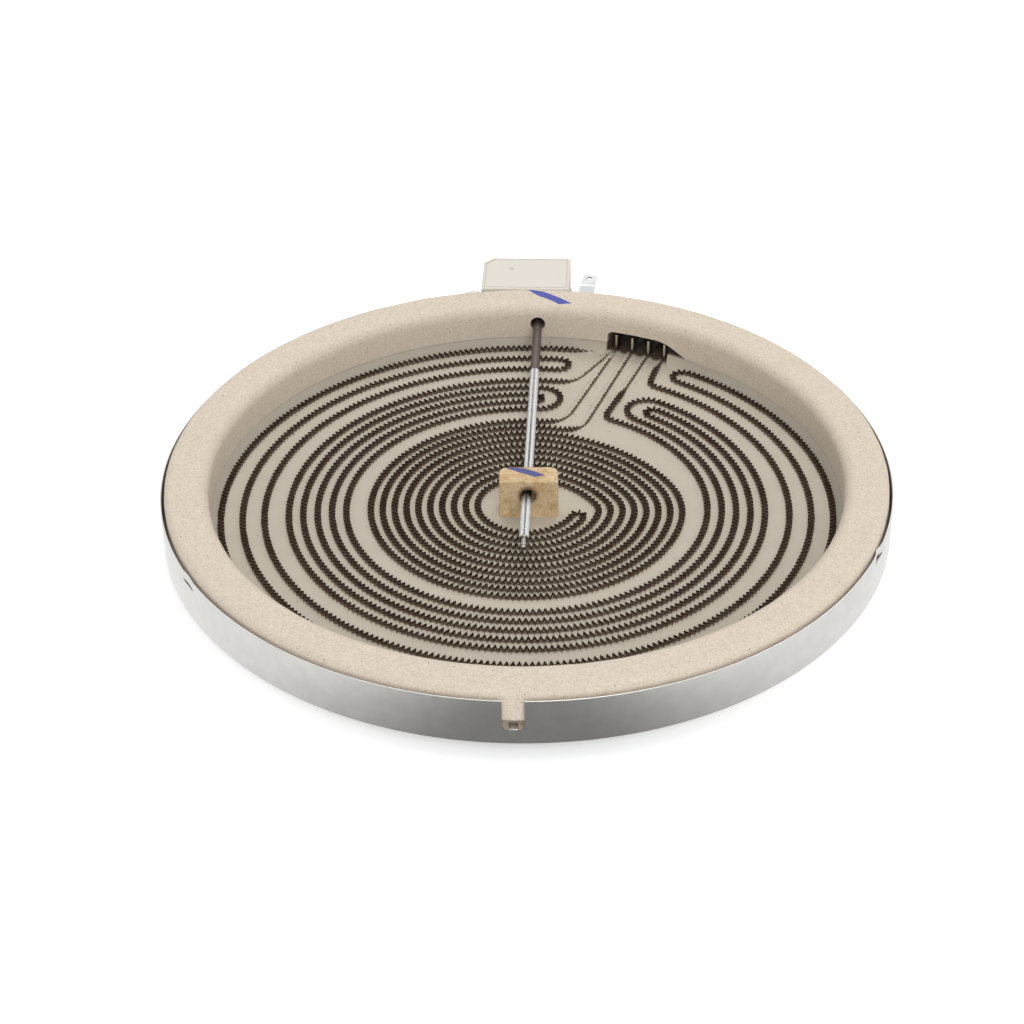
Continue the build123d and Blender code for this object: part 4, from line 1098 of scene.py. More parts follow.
@dataclass
class HeatingRibbon:
    """One circuit: a thin corrugated strip on edge, pressed into the dish's floor."""

    name: str
    route: Route
    layout: Layout
    seed: float
    wave: Corrugation = field(default_factory=Corrugation)
    thickness: float = 0.15 * MM
    foot: float = 7.3 * MM
    stand: float = 2.05 * MM
    lead_stand: float = 0.85 * MM
    bed_step: float = 1.0 * MM
    bed_depth: float = 0.4 * MM
    lump: float = 2.2 * MM
    lump_height: float = 1.1

    def points(self) -> Iterator[tuple[Vector, float]]:
        """Points along the strip's foot with the height of its upper edge.

        Yields:
            Each point and the upper edge's height there.
        """
        wave, walked = self.wave, 0.0
        while walked < self.route.length:
            share = self.route.rise(walked, wave.ease)
            pitch = wave.lead_pitch + (wave.pitch - wave.lead_pitch) * share
            across = wave.lead_across + (wave.across - wave.lead_across) * share
            wander = noise.noise(Vector((walked / wave.wander_run, self.seed, 0)))
            across *= 1 + wave.wander_across * wander
            for phase in wave.phases():
                distance = walked + pitch * phase / FULL_TURN
                if distance > self.route.length:
                    return
                place, heading = self.route.at(distance)
                lift = noise.noise(Vector((distance / wave.lift_run, self.seed, wave.lift_plane)))
                stand = self.lead_stand * (1 + wave.lead_lift * lift)
                stand += (self.stand * (1 + wave.lift * lift) - stand) * share
                point = place + UP.cross(heading) * across * math.sin(math.radians(phase))
                yield Vector((point.x, point.y, self.foot)), self.layout.dish_floor + stand
            walked += pitch * (1 + wave.wander_pitch * wander)

    def build_strip(self) -> None:
        """Draw the wave, raise it to a strip and give it its thickness."""
        bm = bmesh.new()
        tops = bm.verts.layers.float.new("top")
        places = list(self.points())
        for vert, (_, top) in zip(chain(bm, [point for point, _ in places]), places):
            vert[tops] = top
        for item in bmesh.ops.extrude_edge_only(bm, edges=bm.edges[:])["geom"]:
            if isinstance(item, bmesh.types.BMVert):
                item.co.z = item[tops]
        bm.verts.layers.float.remove(tops)
        bmesh.ops.solidify(bm, geom=bm.faces[:], thickness=self.thickness)
        bmesh.ops.recalc_face_normals(bm, faces=bm.faces)
        add_piece(f"{self.name}_strip", bm, STRIP, f"{self.name}_ribbon", crease=50)

    def build_bed(self) -> None:
        """Sweep a skin of the insulation along the strip, swollen on both sides of the leads, browned partly
        as real soot and partly as painted shade round the strip's foot.
        """
        bm = bmesh.new()
        middles = bm.verts.layers.float_vector.new("middle")
        sides = bm.verts.layers.float_vector.new("side")
        shares = bm.verts.layers.float.new("share")
        soot_and_shade_layer = bm.verts.layers.float.new("soot_and_shade")
        steps = math.ceil(self.route.length / self.bed_step)
        places = [self.route.length * number / steps for number in range(steps + 1)]
        verts = chain(bm, [self.route.at(distance)[0] for distance in places])
        for vert, distance in zip(verts, places):
            vert[middles], heading = self.route.at(distance)
            vert[sides] = UP.cross(heading)
            vert[shares] = self.route.rise(distance, self.wave.ease)
        edges = bm.edges[:]
        lines = [(-1, line) for line in reversed(BED_FLANK)] + [(0, BED_MIDDLE)]
        lines += [(1, line) for line in BED_FLANK]
        for number, (hand, line) in enumerate(lines):
            if number:
                row = bmesh.ops.extrude_edge_only(bm, edges=edges)["geom"]
                edges = [item for item in row if isinstance(item, bmesh.types.BMEdge)]
                verts = [item for item in row if isinstance(item, bmesh.types.BMVert)]
            for vert in verts:
                across, rise, vert[soot_and_shade_layer] = line.at(vert[shares])
                lumps = noise.noise(vert[middles] / self.lump + Vector((0, hand, self.seed)))
                vert.co = vert[middles] + vert[sides] * hand * across
                vert.co.z = self.layout.dish_floor + rise * (1 + self.lump_height * lumps)
        for layer in (middles, sides):
            bm.verts.layers.float_vector.remove(layer)
        bm.normal_update()
        upside = [face for face in bm.faces if face.normal.z < 0]
        bmesh.ops.reverse_faces(bm, faces=upside)
        bmesh.ops.solidify(bm, geom=bm.faces[:], thickness=self.bed_depth)
        bmesh.ops.recalc_face_normals(bm, faces=bm.faces)
        add_piece(f"{self.name}_bed", bm, MICROPOROUS, crease=60)


@dataclass
class HeatingCircuits:
    """The three circuits and the places that their routes share; azimuths and headings in degrees."""

    layout: Layout
    edge_gap: float = 1.5 * MM
    outer_pitch: float = 9.2 * MM
    middle_gap: float = 10.3 * MM
    middle_pitch: float = 6.08 * MM
    inner_gap: float = 10.4 * MM
    spiral_pitch: float = 5.05 * MM
    spiral_turns: int = 5
    shift_start: float = -12.0
    shift_end: float = 67.0
    turn_radius: float = 4.0 * MM
    weld_setback: float = -0.4 * MM
    outer_start: float = 78.0
    outer_right: float = 54.9
    outer_left: float = 82.3
    outer_end: float = 58.1
    outer_exit: tuple[float, float] = (75.0, 13.5 * MM)
    outer_weld: tuple[float, float] = (-0.5 * MM, 0.2 * MM)
    middle_start: float = 77.5
    middle_wide: tuple[float, float] = (53.6, 85.6)
    middle_narrow: tuple[float, float] = (51.9, 87.0)
    middle_end: float = 60.3
    middle_exit: tuple[float, float] = (67.0, 20 * MM)
    middle_weld: float = -0.35 * MM
    inner_start: float = 75.3
    inner_end: float = 67.0
    inner_hairpin: float = -22.5
    inner_weld: float = 0.35 * MM
    inner_bend: float = 12 * MM
    seed_step: float = 17.0

    def outer_radii(self) -> list[float]:
        """Radii of the outer circuit's tracks."""
        return [self.layout.dish_radius - self.edge_gap - self.outer_pitch * i for i in range(3)]

    def middle_radii(self) -> list[float]:
        """Radii of the middle circuit's tracks."""
        return [self.outer_radii()[-1] - self.middle_gap - self.middle_pitch * i for i in range(5)]

    def spiral_radius(self, index: int) -> float:
        """Radius of a track of the double spiral, from the outermost."""
        return self.middle_radii()[-1] - self.inner_gap - self.spiral_pitch * index

    def way_out(self, last: Arc, heading: float, length: float) -> tuple[Arc, Straight]:
        """Turn from a track's end towards the terminals, and the straight run after it.

        Args:
            last: Track that ends.
            heading: Direction of the run in degrees.
            length: Length of the run.

        Returns:
            The bend and the run.
        """
        end, arrival = last.at(last.length)
        arrival_angle = math.degrees(math.atan2(arrival.y, arrival.x))
        turn = (heading - arrival_angle) % FULL_TURN - FULL_TURN
        inward = arrival.cross(UP)
        centre = end + inward * self.turn_radius
        bend = Arc(self.turn_radius, arrival_angle + 90, turn, centre)
        corner, way = bend.at(bend.length)
        return bend, Straight(corner, corner + way * length)

    def spiral_shift(self, radius: float) -> list[Arc]:
        """Two tangent arcs that carry a spiral track two pitches inwards.

        Args:
            radius: Radius of the track that they start from.

        Returns:
            The arcs in order.
        """
        drop = 2 * self.spiral_pitch
        span = math.radians(self.shift_end - self.shift_start)
        setback = drop * (1 + math.cos(span / 2)) / (1 - math.cos(span))
        first_centre = polar(setback, self.shift_start)
        second_centre = polar(-setback, self.shift_end)
        joint = first_centre - second_centre
        joint_angle = math.degrees(math.atan2(joint.y, joint.x))
        return [
            Arc(radius - setback, self.shift_start, joint_angle - self.shift_start, first_centre),
            Arc(radius - drop + setback, joint_angle, self.shift_end - joint_angle, second_centre),
        ]

    def spiral_strand(self, index: int, start: float, last: float) -> list[Arc]:
        """One strand of the double spiral, from its outer end to the hairpin.

        Args:
            index: 0 for the outer strand, 1 for the one beside it.
            start: Azimuth of its outer end in degrees.
            last: Azimuth of the hairpin in degrees.

        Returns:
            Its arcs in order.
        """
        arcs = []
        for turn in range(self.spiral_turns - 1):
            radius = self.spiral_radius(index + 2 * turn)
            arcs += [track(radius, start, FULL_TURN + self.shift_start), *self.spiral_shift(radius)]
            start = self.shift_end
        inmost = self.spiral_radius(index + 2 * (self.spiral_turns - 1))
        return [*arcs, track(inmost, start, last)]

    def lead(self, pin: Pin, end: Vector, across: float = 0.0, along: float = 0.0) -> Straight:
        """Straight lead from a pin to the end of a track."""
        return Straight(self.layout.pin_place(pin, across, along), end)

    def looped(
        self, tracks: Sequence[Arc], way_out: tuple[float, float], weld: tuple[float, float], pin: Pin
    ) -> Route:
        """Route that starts at the common terminal and leaves its last track with a straight run.

        Args:
            tracks: Tracks and hairpins in order.
            way_out: Heading and length of the straight run.
            weld: Steps across and outwards from the common pin to the strip's start.
            pin: Terminal where it ends.

        Returns:
            The route.
        """
        last_legs = self.way_out(tracks[-1], *way_out)
        lead_in = self.lead(Pin.COMMON, tracks[0].at(0)[0], *weld)
        lead_out = self.lead(pin, last_legs[-1].end, along=self.weld_setback).backwards()
        return Route((lead_in,), (*tracks, *last_legs), (lead_out,))

    def outer_route(self) -> Route:
        """Three tracks near the ring, joined by two hairpins.

        Returns:
            The route.
        """
        first, second, third = self.outer_radii()
        right, left = FULL_TURN + self.outer_right, self.outer_left
        tracks = [
            track(first, self.outer_start, right),
            hairpin(first, second, right, Bulge.ANTICLOCKWISE),
            track(second, right, left),
            hairpin(second, third, left, Bulge.CLOCKWISE),
            track(third, left, FULL_TURN + self.outer_end),
        ]
        return self.looped(tracks, self.outer_exit, self.outer_weld, Pin.OUTER)

    def middle_route(self) -> Route:
        """Five tracks: a wide loop round a narrow one.

        Returns:
            The route.
        """
        outmost, second, third, fourth, inmost = self.middle_radii()
        wide_right, wide_left = self.middle_wide
        narrow_right, narrow_left = self.middle_narrow
        wide_right, narrow_right = FULL_TURN + wide_right, FULL_TURN + narrow_right
        tracks = [
            track(outmost, self.middle_start, wide_right),
            hairpin(outmost, fourth, wide_right, Bulge.ANTICLOCKWISE),
            track(fourth, wide_right, narrow_left),
            hairpin(fourth, third, narrow_left, Bulge.CLOCKWISE),
            track(third, narrow_left, narrow_right),
            hairpin(third, second, narrow_right, Bulge.ANTICLOCKWISE),
            track(second, narrow_right, wide_left),
            hairpin(second, inmost, wide_left, Bulge.CLOCKWISE),
            track(inmost, wide_left, FULL_TURN + self.middle_end),
        ]
        return self.looped(tracks, self.middle_exit, (self.middle_weld, self.weld_setback), Pin.MIDDLE)

    def inner_route(self) -> Route:
        """Double spiral: one strand winds in, turns at a hairpin and winds out beside itself.

        Returns:
            The route.
        """
        middle = FULL_TURN + self.inner_hairpin
        inward = self.spiral_strand(0, self.inner_start, middle)
        outward = self.spiral_strand(1, self.inner_end, middle)
        turn = hairpin(inward[-1].radius, outward[-1].radius, middle, Bulge.ANTICLOCKWISE)
        tracks = (*inward, turn, *[arc.backwards() for arc in reversed(outward)])
        lead_in = self.lead(Pin.COMMON, inward[0].at(0)[0], self.inner_weld, self.weld_setback)
        lead_out = self.lead(Pin.INNER, outward[0].at(0)[0], along=self.weld_setback).backwards()
        return Route((lead_in,), tracks, (lead_out,), bend=self.inner_bend)

    def build(self) -> None:
        """Make the three strips and their beds."""
        routes = {"outer": self.outer_route(), "middle": self.middle_route(), "inner": self.inner_route()}
        for number, (name, route) in enumerate(routes.items(), start=1):
            ribbon = HeatingRibbon(name, route, self.layout, seed=self.seed_step * number)
            ribbon.build_strip()
            ribbon.build_bed()


# ---------------------------------------------------------------- insulation
@dataclass
class Insulation:
    """Pressed base with its dish, and the ring that bears on the glass."""

    layout: Layout
    outer_round: float = 3.2 * MM
    inner_round: float = 5.5 * MM
    foot_chamfer: float = 1.8 * MM
    rod_hole: float = 3.45 * MM
    rod_hole_rise: float = 0.8 * MM
    arch_left_margin: float = 3.6 * MM
    arch_right_margin: float = 12.0 * MM
    sill_margin: float = 2.8 * MM
    arch_height: float = 10.8 * MM
    arch_slope: float = 11.5 * MM
    arch_left_round: float = 3.0 * MM
    arch_right_round: float = 4.0 * MM
    arch_reach: float = 9 * MM
    lug_room: float = 4.4 * MM
    crown: float = 0.2
    wear: float = 0.16 * MM
    wear_patch: float = 9 * MM
    flats: float = 0.2 * MM
    foot_round: float = 0.4 * MM
    hole_past: float = 6 * MM
    notch_past: float = 2 * MM
    shoulder_foot: float = 3.4 * MM
    shoulder_round: float = 1.8 * MM
    seat_round: float = 0.3 * MM
    brow_share: float = 0.8
    brow_round: float = 0.8 * MM
    cove_drop: float = 1.2 * MM
    cove_spread: float = 0.4 * MM
    cove_round: float = 1.6 * MM

    def arch(self, right_margin: float) -> Mesh:
        """Tool for the arch that the terminals stand in: upright at its left, sloped at its right.

        Args:
            right_margin: Room between the last terminal and the arch's right foot.

        Returns:
            The tool in its place.
        """
        place = self.layout
        half = place.terminal_pitch * (len(Pin) - 1) / 2
        left, right = -half - self.arch_left_margin, half + right_margin
        foot = place.dish_floor
        inner = place.ring_inner - self.arch_reach
        corners = [
            (left, foot, 0.0),
            (right, foot, 0.0),
            (right, place.ring_low.z, 0.0),
            (half + self.arch_right_margin - self.arch_slope, foot + self.arch_height, self.arch_right_round),
            (left, foot + self.arch_height, self.arch_left_round),
        ]
        bm = deepened(rounded_section(corners, segments=8), place.wall - inner)
        return moved(bm, place.terminal_matrix() @ Matrix.Translation((0, inner, 0)))

    def build(self) -> None:
        """Make the base, then the ring on it."""
        self.build_base()
        self.build_ring()

    def build_ring(self) -> None:
        """Ring with its arch and the hole for the rod; the faces that bear on glass and base stay flat."""
        place = self.layout
        inner, outer = place.ring_inner, place.ring_outer
        foot, top = place.ring_low.z, place.ring_high.z
        middle, crown = (inner + outer) / 2, self.crown * (outer - inner) / 2
        corners = [
            (inner, foot, 0.0),
            (outer - self.foot_chamfer, foot, 0.0),
            (outer, foot + self.foot_chamfer, self.foot_round),
            (outer, top, self.outer_round),
            (middle + crown, top, 0.0),
            (middle - crown, top, 0.0),
            (inner, top, self.inner_round),
            (inner, (foot + top) / 2, 0.0),
        ]
        bm = lathe(rounded_section(corners, segments=7))
        roughened(bm, self.wear, self.wear_patch, lambda co: foot + self.flats <= co.z <= top - self.flats)
        height = place.rod_height + self.rod_hole_rise
        front, back = (Vector((0, y, height)) for y in (inner - self.hole_past, outer + self.hole_past))
        hole = pin_between(front, back, self.rod_hole)
        bm = carved(bm, [self.arch(self.arch_right_margin), moved(hole, place.rod_matrix())])
        add_piece("insulation_ring_body", bm, VERMICULITE, "insulation_ring")

    def build_base(self) -> None:
        """Base that fills the tray, with the dish, the rim and a coved edge between them."""
        place = self.layout
        shoulder = place.shoulder + place.sheet
        brow = place.dish_radius + self.brow_share * place.cove
        corners = [
            (0.0, place.sheet, 0.0),
            (place.deep_radius - place.wall_lean, place.sheet, 0.0),
            (place.deep_radius + self.shoulder_foot, shoulder, 0.0),
            (place.wall, shoulder, self.shoulder_round),
            (place.wall, place.ring_low.z, 0.0),
            (place.ring_inner - place.ring_ledge, place.ring_low.z, self.seat_round),
            (brow, place.ring_low.z - self.cove_drop, self.brow_round),
            (place.dish_radius + self.cove_spread, place.dish_floor, self.cove_round),
            *[(place.dish_radius * share, place.dish_floor, 0.0) for share in (0.8, 0.6, 0.4, 0.2, 0.0)],
        ]
        bm = lathe(rounded_section(corners, closed=False))
        half = place.slot_width / 2
        low = (-half, place.wall - self.lug_room, place.slot_foot)
        high = (half, place.wall + self.notch_past, place.ring_high.z)
        notches = [moved(block_between(low, high), place.azimuth_matrix(at)) for at in place.slot_azimuths()]
        bm = carved(bm, [self.arch(self.sill_margin), *notches])
        add_piece("base_insulation_body", bm, MICROPOROUS, "base_insulation")


# ---------------------------------------------------------------- support block and rod
@dataclass
class CentreBlock:
    """Support block in the middle of the dish, with worn edges and the hole for the tube."""

    layout: Layout
    edge_round: float = 0.9 * MM
    back_round: float = 3.5 * MM
    hole_radius: float = 3.45 * MM
    hole_x: float = 0.45 * MM
    hole_drop: float = 0.7 * MM

    def build(self) -> None:
        """Make the block: its outline in plan, raised, worn at the top and bored for the tube."""
        low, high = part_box("centre_block")
        corners = [
            (low.x, -low.y, self.edge_round),
            (high.x, -low.y, self.edge_round),
            (high.x, -high.y, self.back_round),
            (low.x, -high.y, self.back_round),
        ]
        bm = deepened(rounded_section(corners, segments=8), high.z - low.z)
        moved(bm, Matrix.Translation((0, 0, low.z)) @ Matrix.Rotation(math.radians(90), 4, "X"))
        level = high.z - 10 * WELD
        top = [edge for edge in bm.edges if all(vert.co.z > level for vert in edge.verts)]
        rounded(bm, top, self.edge_round, 4)
        height = self.layout.rod_height - self.hole_drop
        reach = high.y - low.y
        front, back = (Vector((self.hole_x, y, height)) for y in (low.y - reach, high.y + reach))
        bm = carved(bm, [pin_between(front, back, self.hole_radius, steps=72)])
        add_piece("support_block", bm, BLOCK_BOARD, "centre_block")


@dataclass
class RodSheath:
    """Round pieces on the rod's axis between the block and the head."""

    layout: Layout
    radius: float = 2.05 * MM
    bore: float = 1.3 * MM
    washer_radius: float = 1.9 * MM
    barrel_radius: float = 1.15 * MM
    collar_radius: float = 1.55 * MM
    washer: float = 0.8 * MM
    collar: float = 1.0 * MM
    nose: float = 1.6 * MM
    nose_round: float = 0.4 * MM
    edge: float = 0.2 * MM
    fire_polish: float = 0.25 * MM

    def turned(self, name: str, node: str, corners: Corners, finish: Finish, closed: bool = True) -> None:
        """Turn a section about the rod's axis and put it in place.

        Args:
            name: Name of the piece.
            node: Node that it replaces.
            corners: Radius, place along the rod and rounding of each corner.
            finish: Its finish.
            closed: Whether the section's ends join.
        """
        bm = lathe(rounded_section(corners, closed, segments=4), steps=64)
        place = self.layout.rod_matrix() @ Matrix.Translation((0, 0, self.layout.rod_height))
        moved(bm, place @ Matrix.Rotation(math.radians(-90), 4, "X"))
        add_piece(name, bm, finish, node)

    def open_tube(self, name: str, node: str, finish: Finish) -> None:
        """Open tube over the whole length of its node.

        Args:
            name: Name of the piece.
            node: Node that it replaces.
            finish: Its finish.
        """
        start, end = self.layout.along_rod(node, self.radius)
        ends = (self.bore, start), (self.radius, start), (self.radius, end), (self.bore, end)
        self.turned(name, node, [(*corner, self.fire_polish) for corner in ends], finish)

    def end_piece(self) -> None:
        """Turned end piece: a washer on the tube's tip, a thin barrel, a collar and a nose."""
        start, _ = self.layout.along_rod("rod_ferrule", self.barrel_radius)
        end, _ = self.layout.along_rod("quartz_tube", self.radius)
        collar, washer = start + self.nose, end - self.washer
        corners = [
            (0.0, start, 0.0),
            (self.barrel_radius, start, self.nose_round),
            (self.barrel_radius, collar, 0.0),
            (self.collar_radius, collar, self.edge),
            (self.collar_radius, collar + self.collar, self.edge),
            (self.barrel_radius, collar + self.collar, 0.0),
            (self.barrel_radius, washer, 0.0),
            (self.washer_radius, washer, self.edge),
            (self.washer_radius, end, self.edge),
            (0.0, end, 0.0),
        ]
        self.turned("rod_end_piece", "rod_ferrule", corners, FERRULE, closed=False)

    def build(self) -> None:
        """Make tube, sleeve and end piece."""
        self.open_tube("quartz_sheath", "quartz_tube", QUARTZ)
        self.open_tube("dark_sheath", "compensating_sleeve", DARK_SLEEVE)
        self.end_piece()


# ---------------------------------------------------------------- tray
@dataclass
class Tray:
    """Pressed sheet pan with slots for the holder's hooks, their lugs, and crimps in the rim."""

    layout: Layout
    step_run: float = 4.0 * MM
    step_round: float = 1.5 * MM
    bend: float = 2.4 * MM
    rim_round: float = 0.22 * MM
    slot_round: float = 2.0 * MM
    lug_width: float = 3.6 * MM
    lug_length: float = 4.2 * MM
    lug_round: float = 0.2 * MM
    tool_reach: float = 4 * MM
    slot_past: float = 5 * MM
    slit_past: float = 1 * MM
    crimp_length: float = 10.0 * MM
    crimp_strip: float = 3.6 * MM
    crimp_slit: float = 0.5 * MM
    crimp_depths: dict[float, float] = field(default_factory=lambda: {208.0: 0.5 * MM, 337.5: 1.1 * MM})

    def pan(self) -> Mesh:
        """Pan without its openings.

        Returns:
            Its mesh.
        """
        place = self.layout
        radius, sheet, rim, shoulder = place.tray_radius, place.sheet, place.rim, place.shoulder
        deep, step = place.deep_radius, place.deep_radius + self.step_run
        corners = [
            (0.0, 0.0, 0.0),
            (deep, 0.0, self.step_round),
            (step, shoulder, self.step_round),
            (radius, shoulder, self.bend),
            (radius, (shoulder + rim) / 2, 0.0),
            (radius, rim, self.rim_round),
            (place.wall, rim, self.rim_round),
            (place.wall, shoulder + sheet, self.bend - sheet),
            (step - place.wall_lean, shoulder + sheet, self.step_round),
            (deep - place.wall_lean, sheet, self.step_round),
            (0.0, sheet, 0.0),
        ]
        return lathe(rounded_section(corners, closed=False, segments=4))

    def slot_tool(self, azimuth: float) -> Mesh:
        """Tool that cuts one holder slot, open at the rim.

        Args:
            azimuth: Azimuth of the slot in degrees.

        Returns:
            The tool in its place.
        """
        place = self.layout
        half, foot, top = place.slot_width / 2, place.slot_foot, place.rim + self.slot_past
        corners = [
            (-half, foot, self.slot_round),
            (half, foot, self.slot_round),
            (half, top, 0.0),
            (-half, top, 0.0),
        ]
        bm = deepened(rounded_section(corners, segments=6), 2 * self.tool_reach)
        inwards = Matrix.Translation((0, place.tray_radius - self.tool_reach, 0))
        return moved(bm, place.azimuth_matrix(azimuth) @ inwards)

    def lug(self, azimuth: float) -> Mesh:
        """Tongue at a slot's foot, folded inwards and rounded along its sides.

        Args:
            azimuth: Azimuth of the slot in degrees.

        Returns:
            The tongue in its place.
        """
        place = self.layout
        half, foot, outer = self.lug_width / 2, place.slot_foot, place.tray_radius - place.sheet / 4
        bm = block_between((-half, outer - self.lug_length, foot), (half, outer, foot + place.sheet))
        rounded(bm, bm.edges[:], self.lug_round, 3)
        return moved(bm, place.azimuth_matrix(azimuth))

    def crimp_tool(self, azimuth: float) -> Mesh:
        """Tool for the slit under a crimp's strip.

        Args:
            azimuth: Azimuth of the crimp's middle in degrees.

        Returns:
            The tool in its place.
        """
        place = self.layout
        half, top = self.crimp_length / 2, place.rim - self.crimp_strip
        low = (-half, place.tray_radius - self.tool_reach, top - self.crimp_slit)
        high = (half, place.tray_radius + self.slit_past, top)
        return moved(block_between(low, high), place.azimuth_matrix(azimuth))

    def press_crimp(self, bm: Mesh, azimuth: float, depth: float) -> None:
        """Bow the strip above a slit inwards until it holds the ring.

        Args:
            bm: Mesh of the pan.
            azimuth: Azimuth of the crimp's middle in degrees.
            depth: How far its middle is pressed in.
        """
        place = self.layout
        half = math.degrees(self.crimp_length / 2 / place.tray_radius)
        foot = place.rim - self.crimp_strip - self.crimp_slit / 10
        for vert in bm.verts:
            angle = (math.degrees(math.atan2(vert.co.y, vert.co.x)) - azimuth + 180) % FULL_TURN - 180
            if abs(angle) < half and vert.co.z > foot:
                share = math.cos(math.radians(90 * angle / half)) ** 2
                vert.co -= Vector((vert.co.x, vert.co.y, 0)).normalized() * depth * share

    def build(self) -> None:
        """Cut the pan's openings, press its crimps and weld the lugs to it."""
        azimuths = self.layout.slot_azimuths()
        slots = [self.slot_tool(azimuth) for azimuth in azimuths]
        bm = carved(self.pan(), slots + [self.crimp_tool(azimuth) for azimuth in self.crimp_depths])
        for azimuth, depth in self.crimp_depths.items():
            self.press_crimp(bm, azimuth, depth)
        bm = carved(bm, [self.lug(azimuth) for azimuth in azimuths], Carving.JOIN)
        add_piece("tray_pan", bm, ALUMINISED, "tray")


# ---------------------------------------------------------------- studio
@dataclass(frozen=True)
class SoftBox:
    """Square lamp that looks at the heater, with its side in metres and its power in watts."""

    name: str
    place: tuple[float, float, float]
    side: float
    power: float


SOFT_BOXES = (
    SoftBox("back_box", (0.1, 0.85, 1.55), side=1.2, power=12.0),
    SoftBox("front_box", (0.37, -1.8, 1.35), side=1.2, power=21.0),
    SoftBox("left_box", (-1.5, 0.1, 0.6), side=0.8, power=1.5),
    SoftBox("right_box", (1.5, 0.1, 0.6), side=0.8, power=1.5),
)


@dataclass
class Studio:
    """Plain floor, soft lamps and the camera."""

    distance: float = 1103.8 * MM
    elevation: float = 34.54
    roll: float = -0.556
    aim: Vector = field(default_factory=lambda: Vector((0, 0, 6 * MM)))
    focal: float = 2584.2
    image: float = 1024.0
    shift: tuple[float, float] = (-14.94, 3.16)
    sensor: float = 36.0
    sky_strength: float = 0.50
    floor_radius: float = 12.0
    floor_drop: float = 0.1 * MM
    paper_lift: float = 0.35
    painted_glow_edge: tuple[float, float] = (20 * MM, 150 * MM)
    painted_glow_middle: float = 0.3
    painted_glow_sides: float = 1.25

    def camera(self) -> None:
        """Set the camera above the front of the heater."""
        data = bpy.data.cameras.new("camera")
        data.sensor_width = self.sensor
        data.lens = self.focal / self.image * self.sensor
        data.shift_x, data.shift_y = (step / self.image for step in self.shift)
        camera = bpy.data.objects.new("camera", data)
        bpy.context.scene.collection.objects.link(camera)
        tilt = math.radians(self.elevation)
        camera.location = self.aim + Vector((0, -math.cos(tilt), math.sin(tilt))) * self.distance
        level = Matrix.Rotation(math.radians(90) - tilt, 4, "X")
        camera.rotation_euler = (level @ Matrix.Rotation(math.radians(self.roll), 4, "Z")).to_euler()
        bpy.context.scene.camera = camera

    def lamp(self, box: SoftBox) -> None:
        """Hang a soft box.

        Args:
            box: The soft box.
        """
        data = bpy.data.lights.new(box.name, "AREA")
        data.size = box.side
        data.energy = box.power
        lamp = bpy.data.objects.new(box.name, data)
        lamp.location = box.place
        lamp.rotation_euler = (self.aim - Vector(box.place)).to_track_quat("-Z", "Y").to_euler()
        bpy.context.scene.collection.objects.link(lamp)

    def sky(self) -> None:
        """Make pale surroundings; the background itself, also mirrored or through glass, is white."""
        world = bpy.data.worlds.new("studio")
        world.use_nodes = True
        tree = world.node_tree
        tree.nodes.clear()
        ray = add_node(tree, "LightPath").outputs
        soft = add_node(tree, "Background", {"Color": linear("#F4F6F8"), "Strength": self.sky_strength})
        white = add_node(tree, "Background", {"Color": linear("#FFFFFF"), "Strength": 1.0})
        seen = ray["Is Camera Ray"]
        for kind in ("Is Glossy Ray", "Is Transmission Ray"):
            seen = add_node(tree, "Math", {0: seen, 1: ray[kind]}, operation="MAXIMUM")
        mixed = add_node(tree, "MixShader", {0: seen, 1: soft, 2: white})
        add_node(tree, "OutputWorld", {"Surface": mixed})
        bpy.context.scene.world = world

    def paper(self) -> Material:
        """White paper, with a painted reflection: a glow that only sheet metal mirrors, weak in the middle,
        strong at both sides.

        Returns:
            The material.
        """
        finish = bpy.data.materials.new("floor_paper")
        finish.use_nodes = True
        tree = finish.node_tree
        tree.nodes.clear()
        ray = add_node(tree, "LightPath").outputs
        lift = add_node(tree, "Math", {0: ray["Is Camera Ray"], 1: self.paper_lift}, operation="MULTIPLY")
        white = linear("#FFFFFF")
        matt = {"Base Color": white, "Roughness": 1.0, "Specular IOR Level": 0.0}
        lit = {"Emission Color": white, "Emission Strength": lift}
        shader = add_node(tree, "BsdfPrincipled", {**matt, **lit})
        place = add_node(tree, "TexCoord").outputs["Object"]
        side = add_node(tree, "SeparateXYZ", {0: place}).outputs["X"]
        away = add_node(tree, "Math", {0: side}, operation="ABSOLUTE")
        # Painted reflection: only glossy rays see this glow, so the tray's sides mirror a brightness that no
        # lamp gives.
        spread = within(tree, (away, *self.painted_glow_edge))
        painted_glow = {0: spread, 1: self.painted_glow_sides - self.painted_glow_middle, 2: self.painted_glow_middle}
        strength = add_node(tree, "Math", painted_glow, operation="MULTIPLY_ADD")
        painted_reflection = add_node(tree, "Emission", {"Strength": strength})
        mixed = add_node(tree, "MixShader", {0: ray["Is Glossy Ray"], 1: shader, 2: painted_reflection})
        add_node(tree, "OutputMaterial", {"Surface": mixed})
        return finish

    def floor(self) -> None:
        """Lay the floor under the heater that keeps its shadow."""
        bm = bmesh.new()
        bmesh.ops.create_circle(bm, cap_ends=True, segments=64, radius=self.floor_radius)
        floor = loose_object("floor", bm)
        floor.data.materials.append(self.paper())
        floor.location.z = CAD_BOX[0][2] - self.floor_drop

    def build(self) -> None:
        """Set up the surroundings, the floor, the lamps and the camera."""
        bpy.context.scene.view_settings.view_transform = "Standard"
        self.sky()
        self.floor()
        for box in SOFT_BOXES:
            self.lamp(box)
        self.camera()
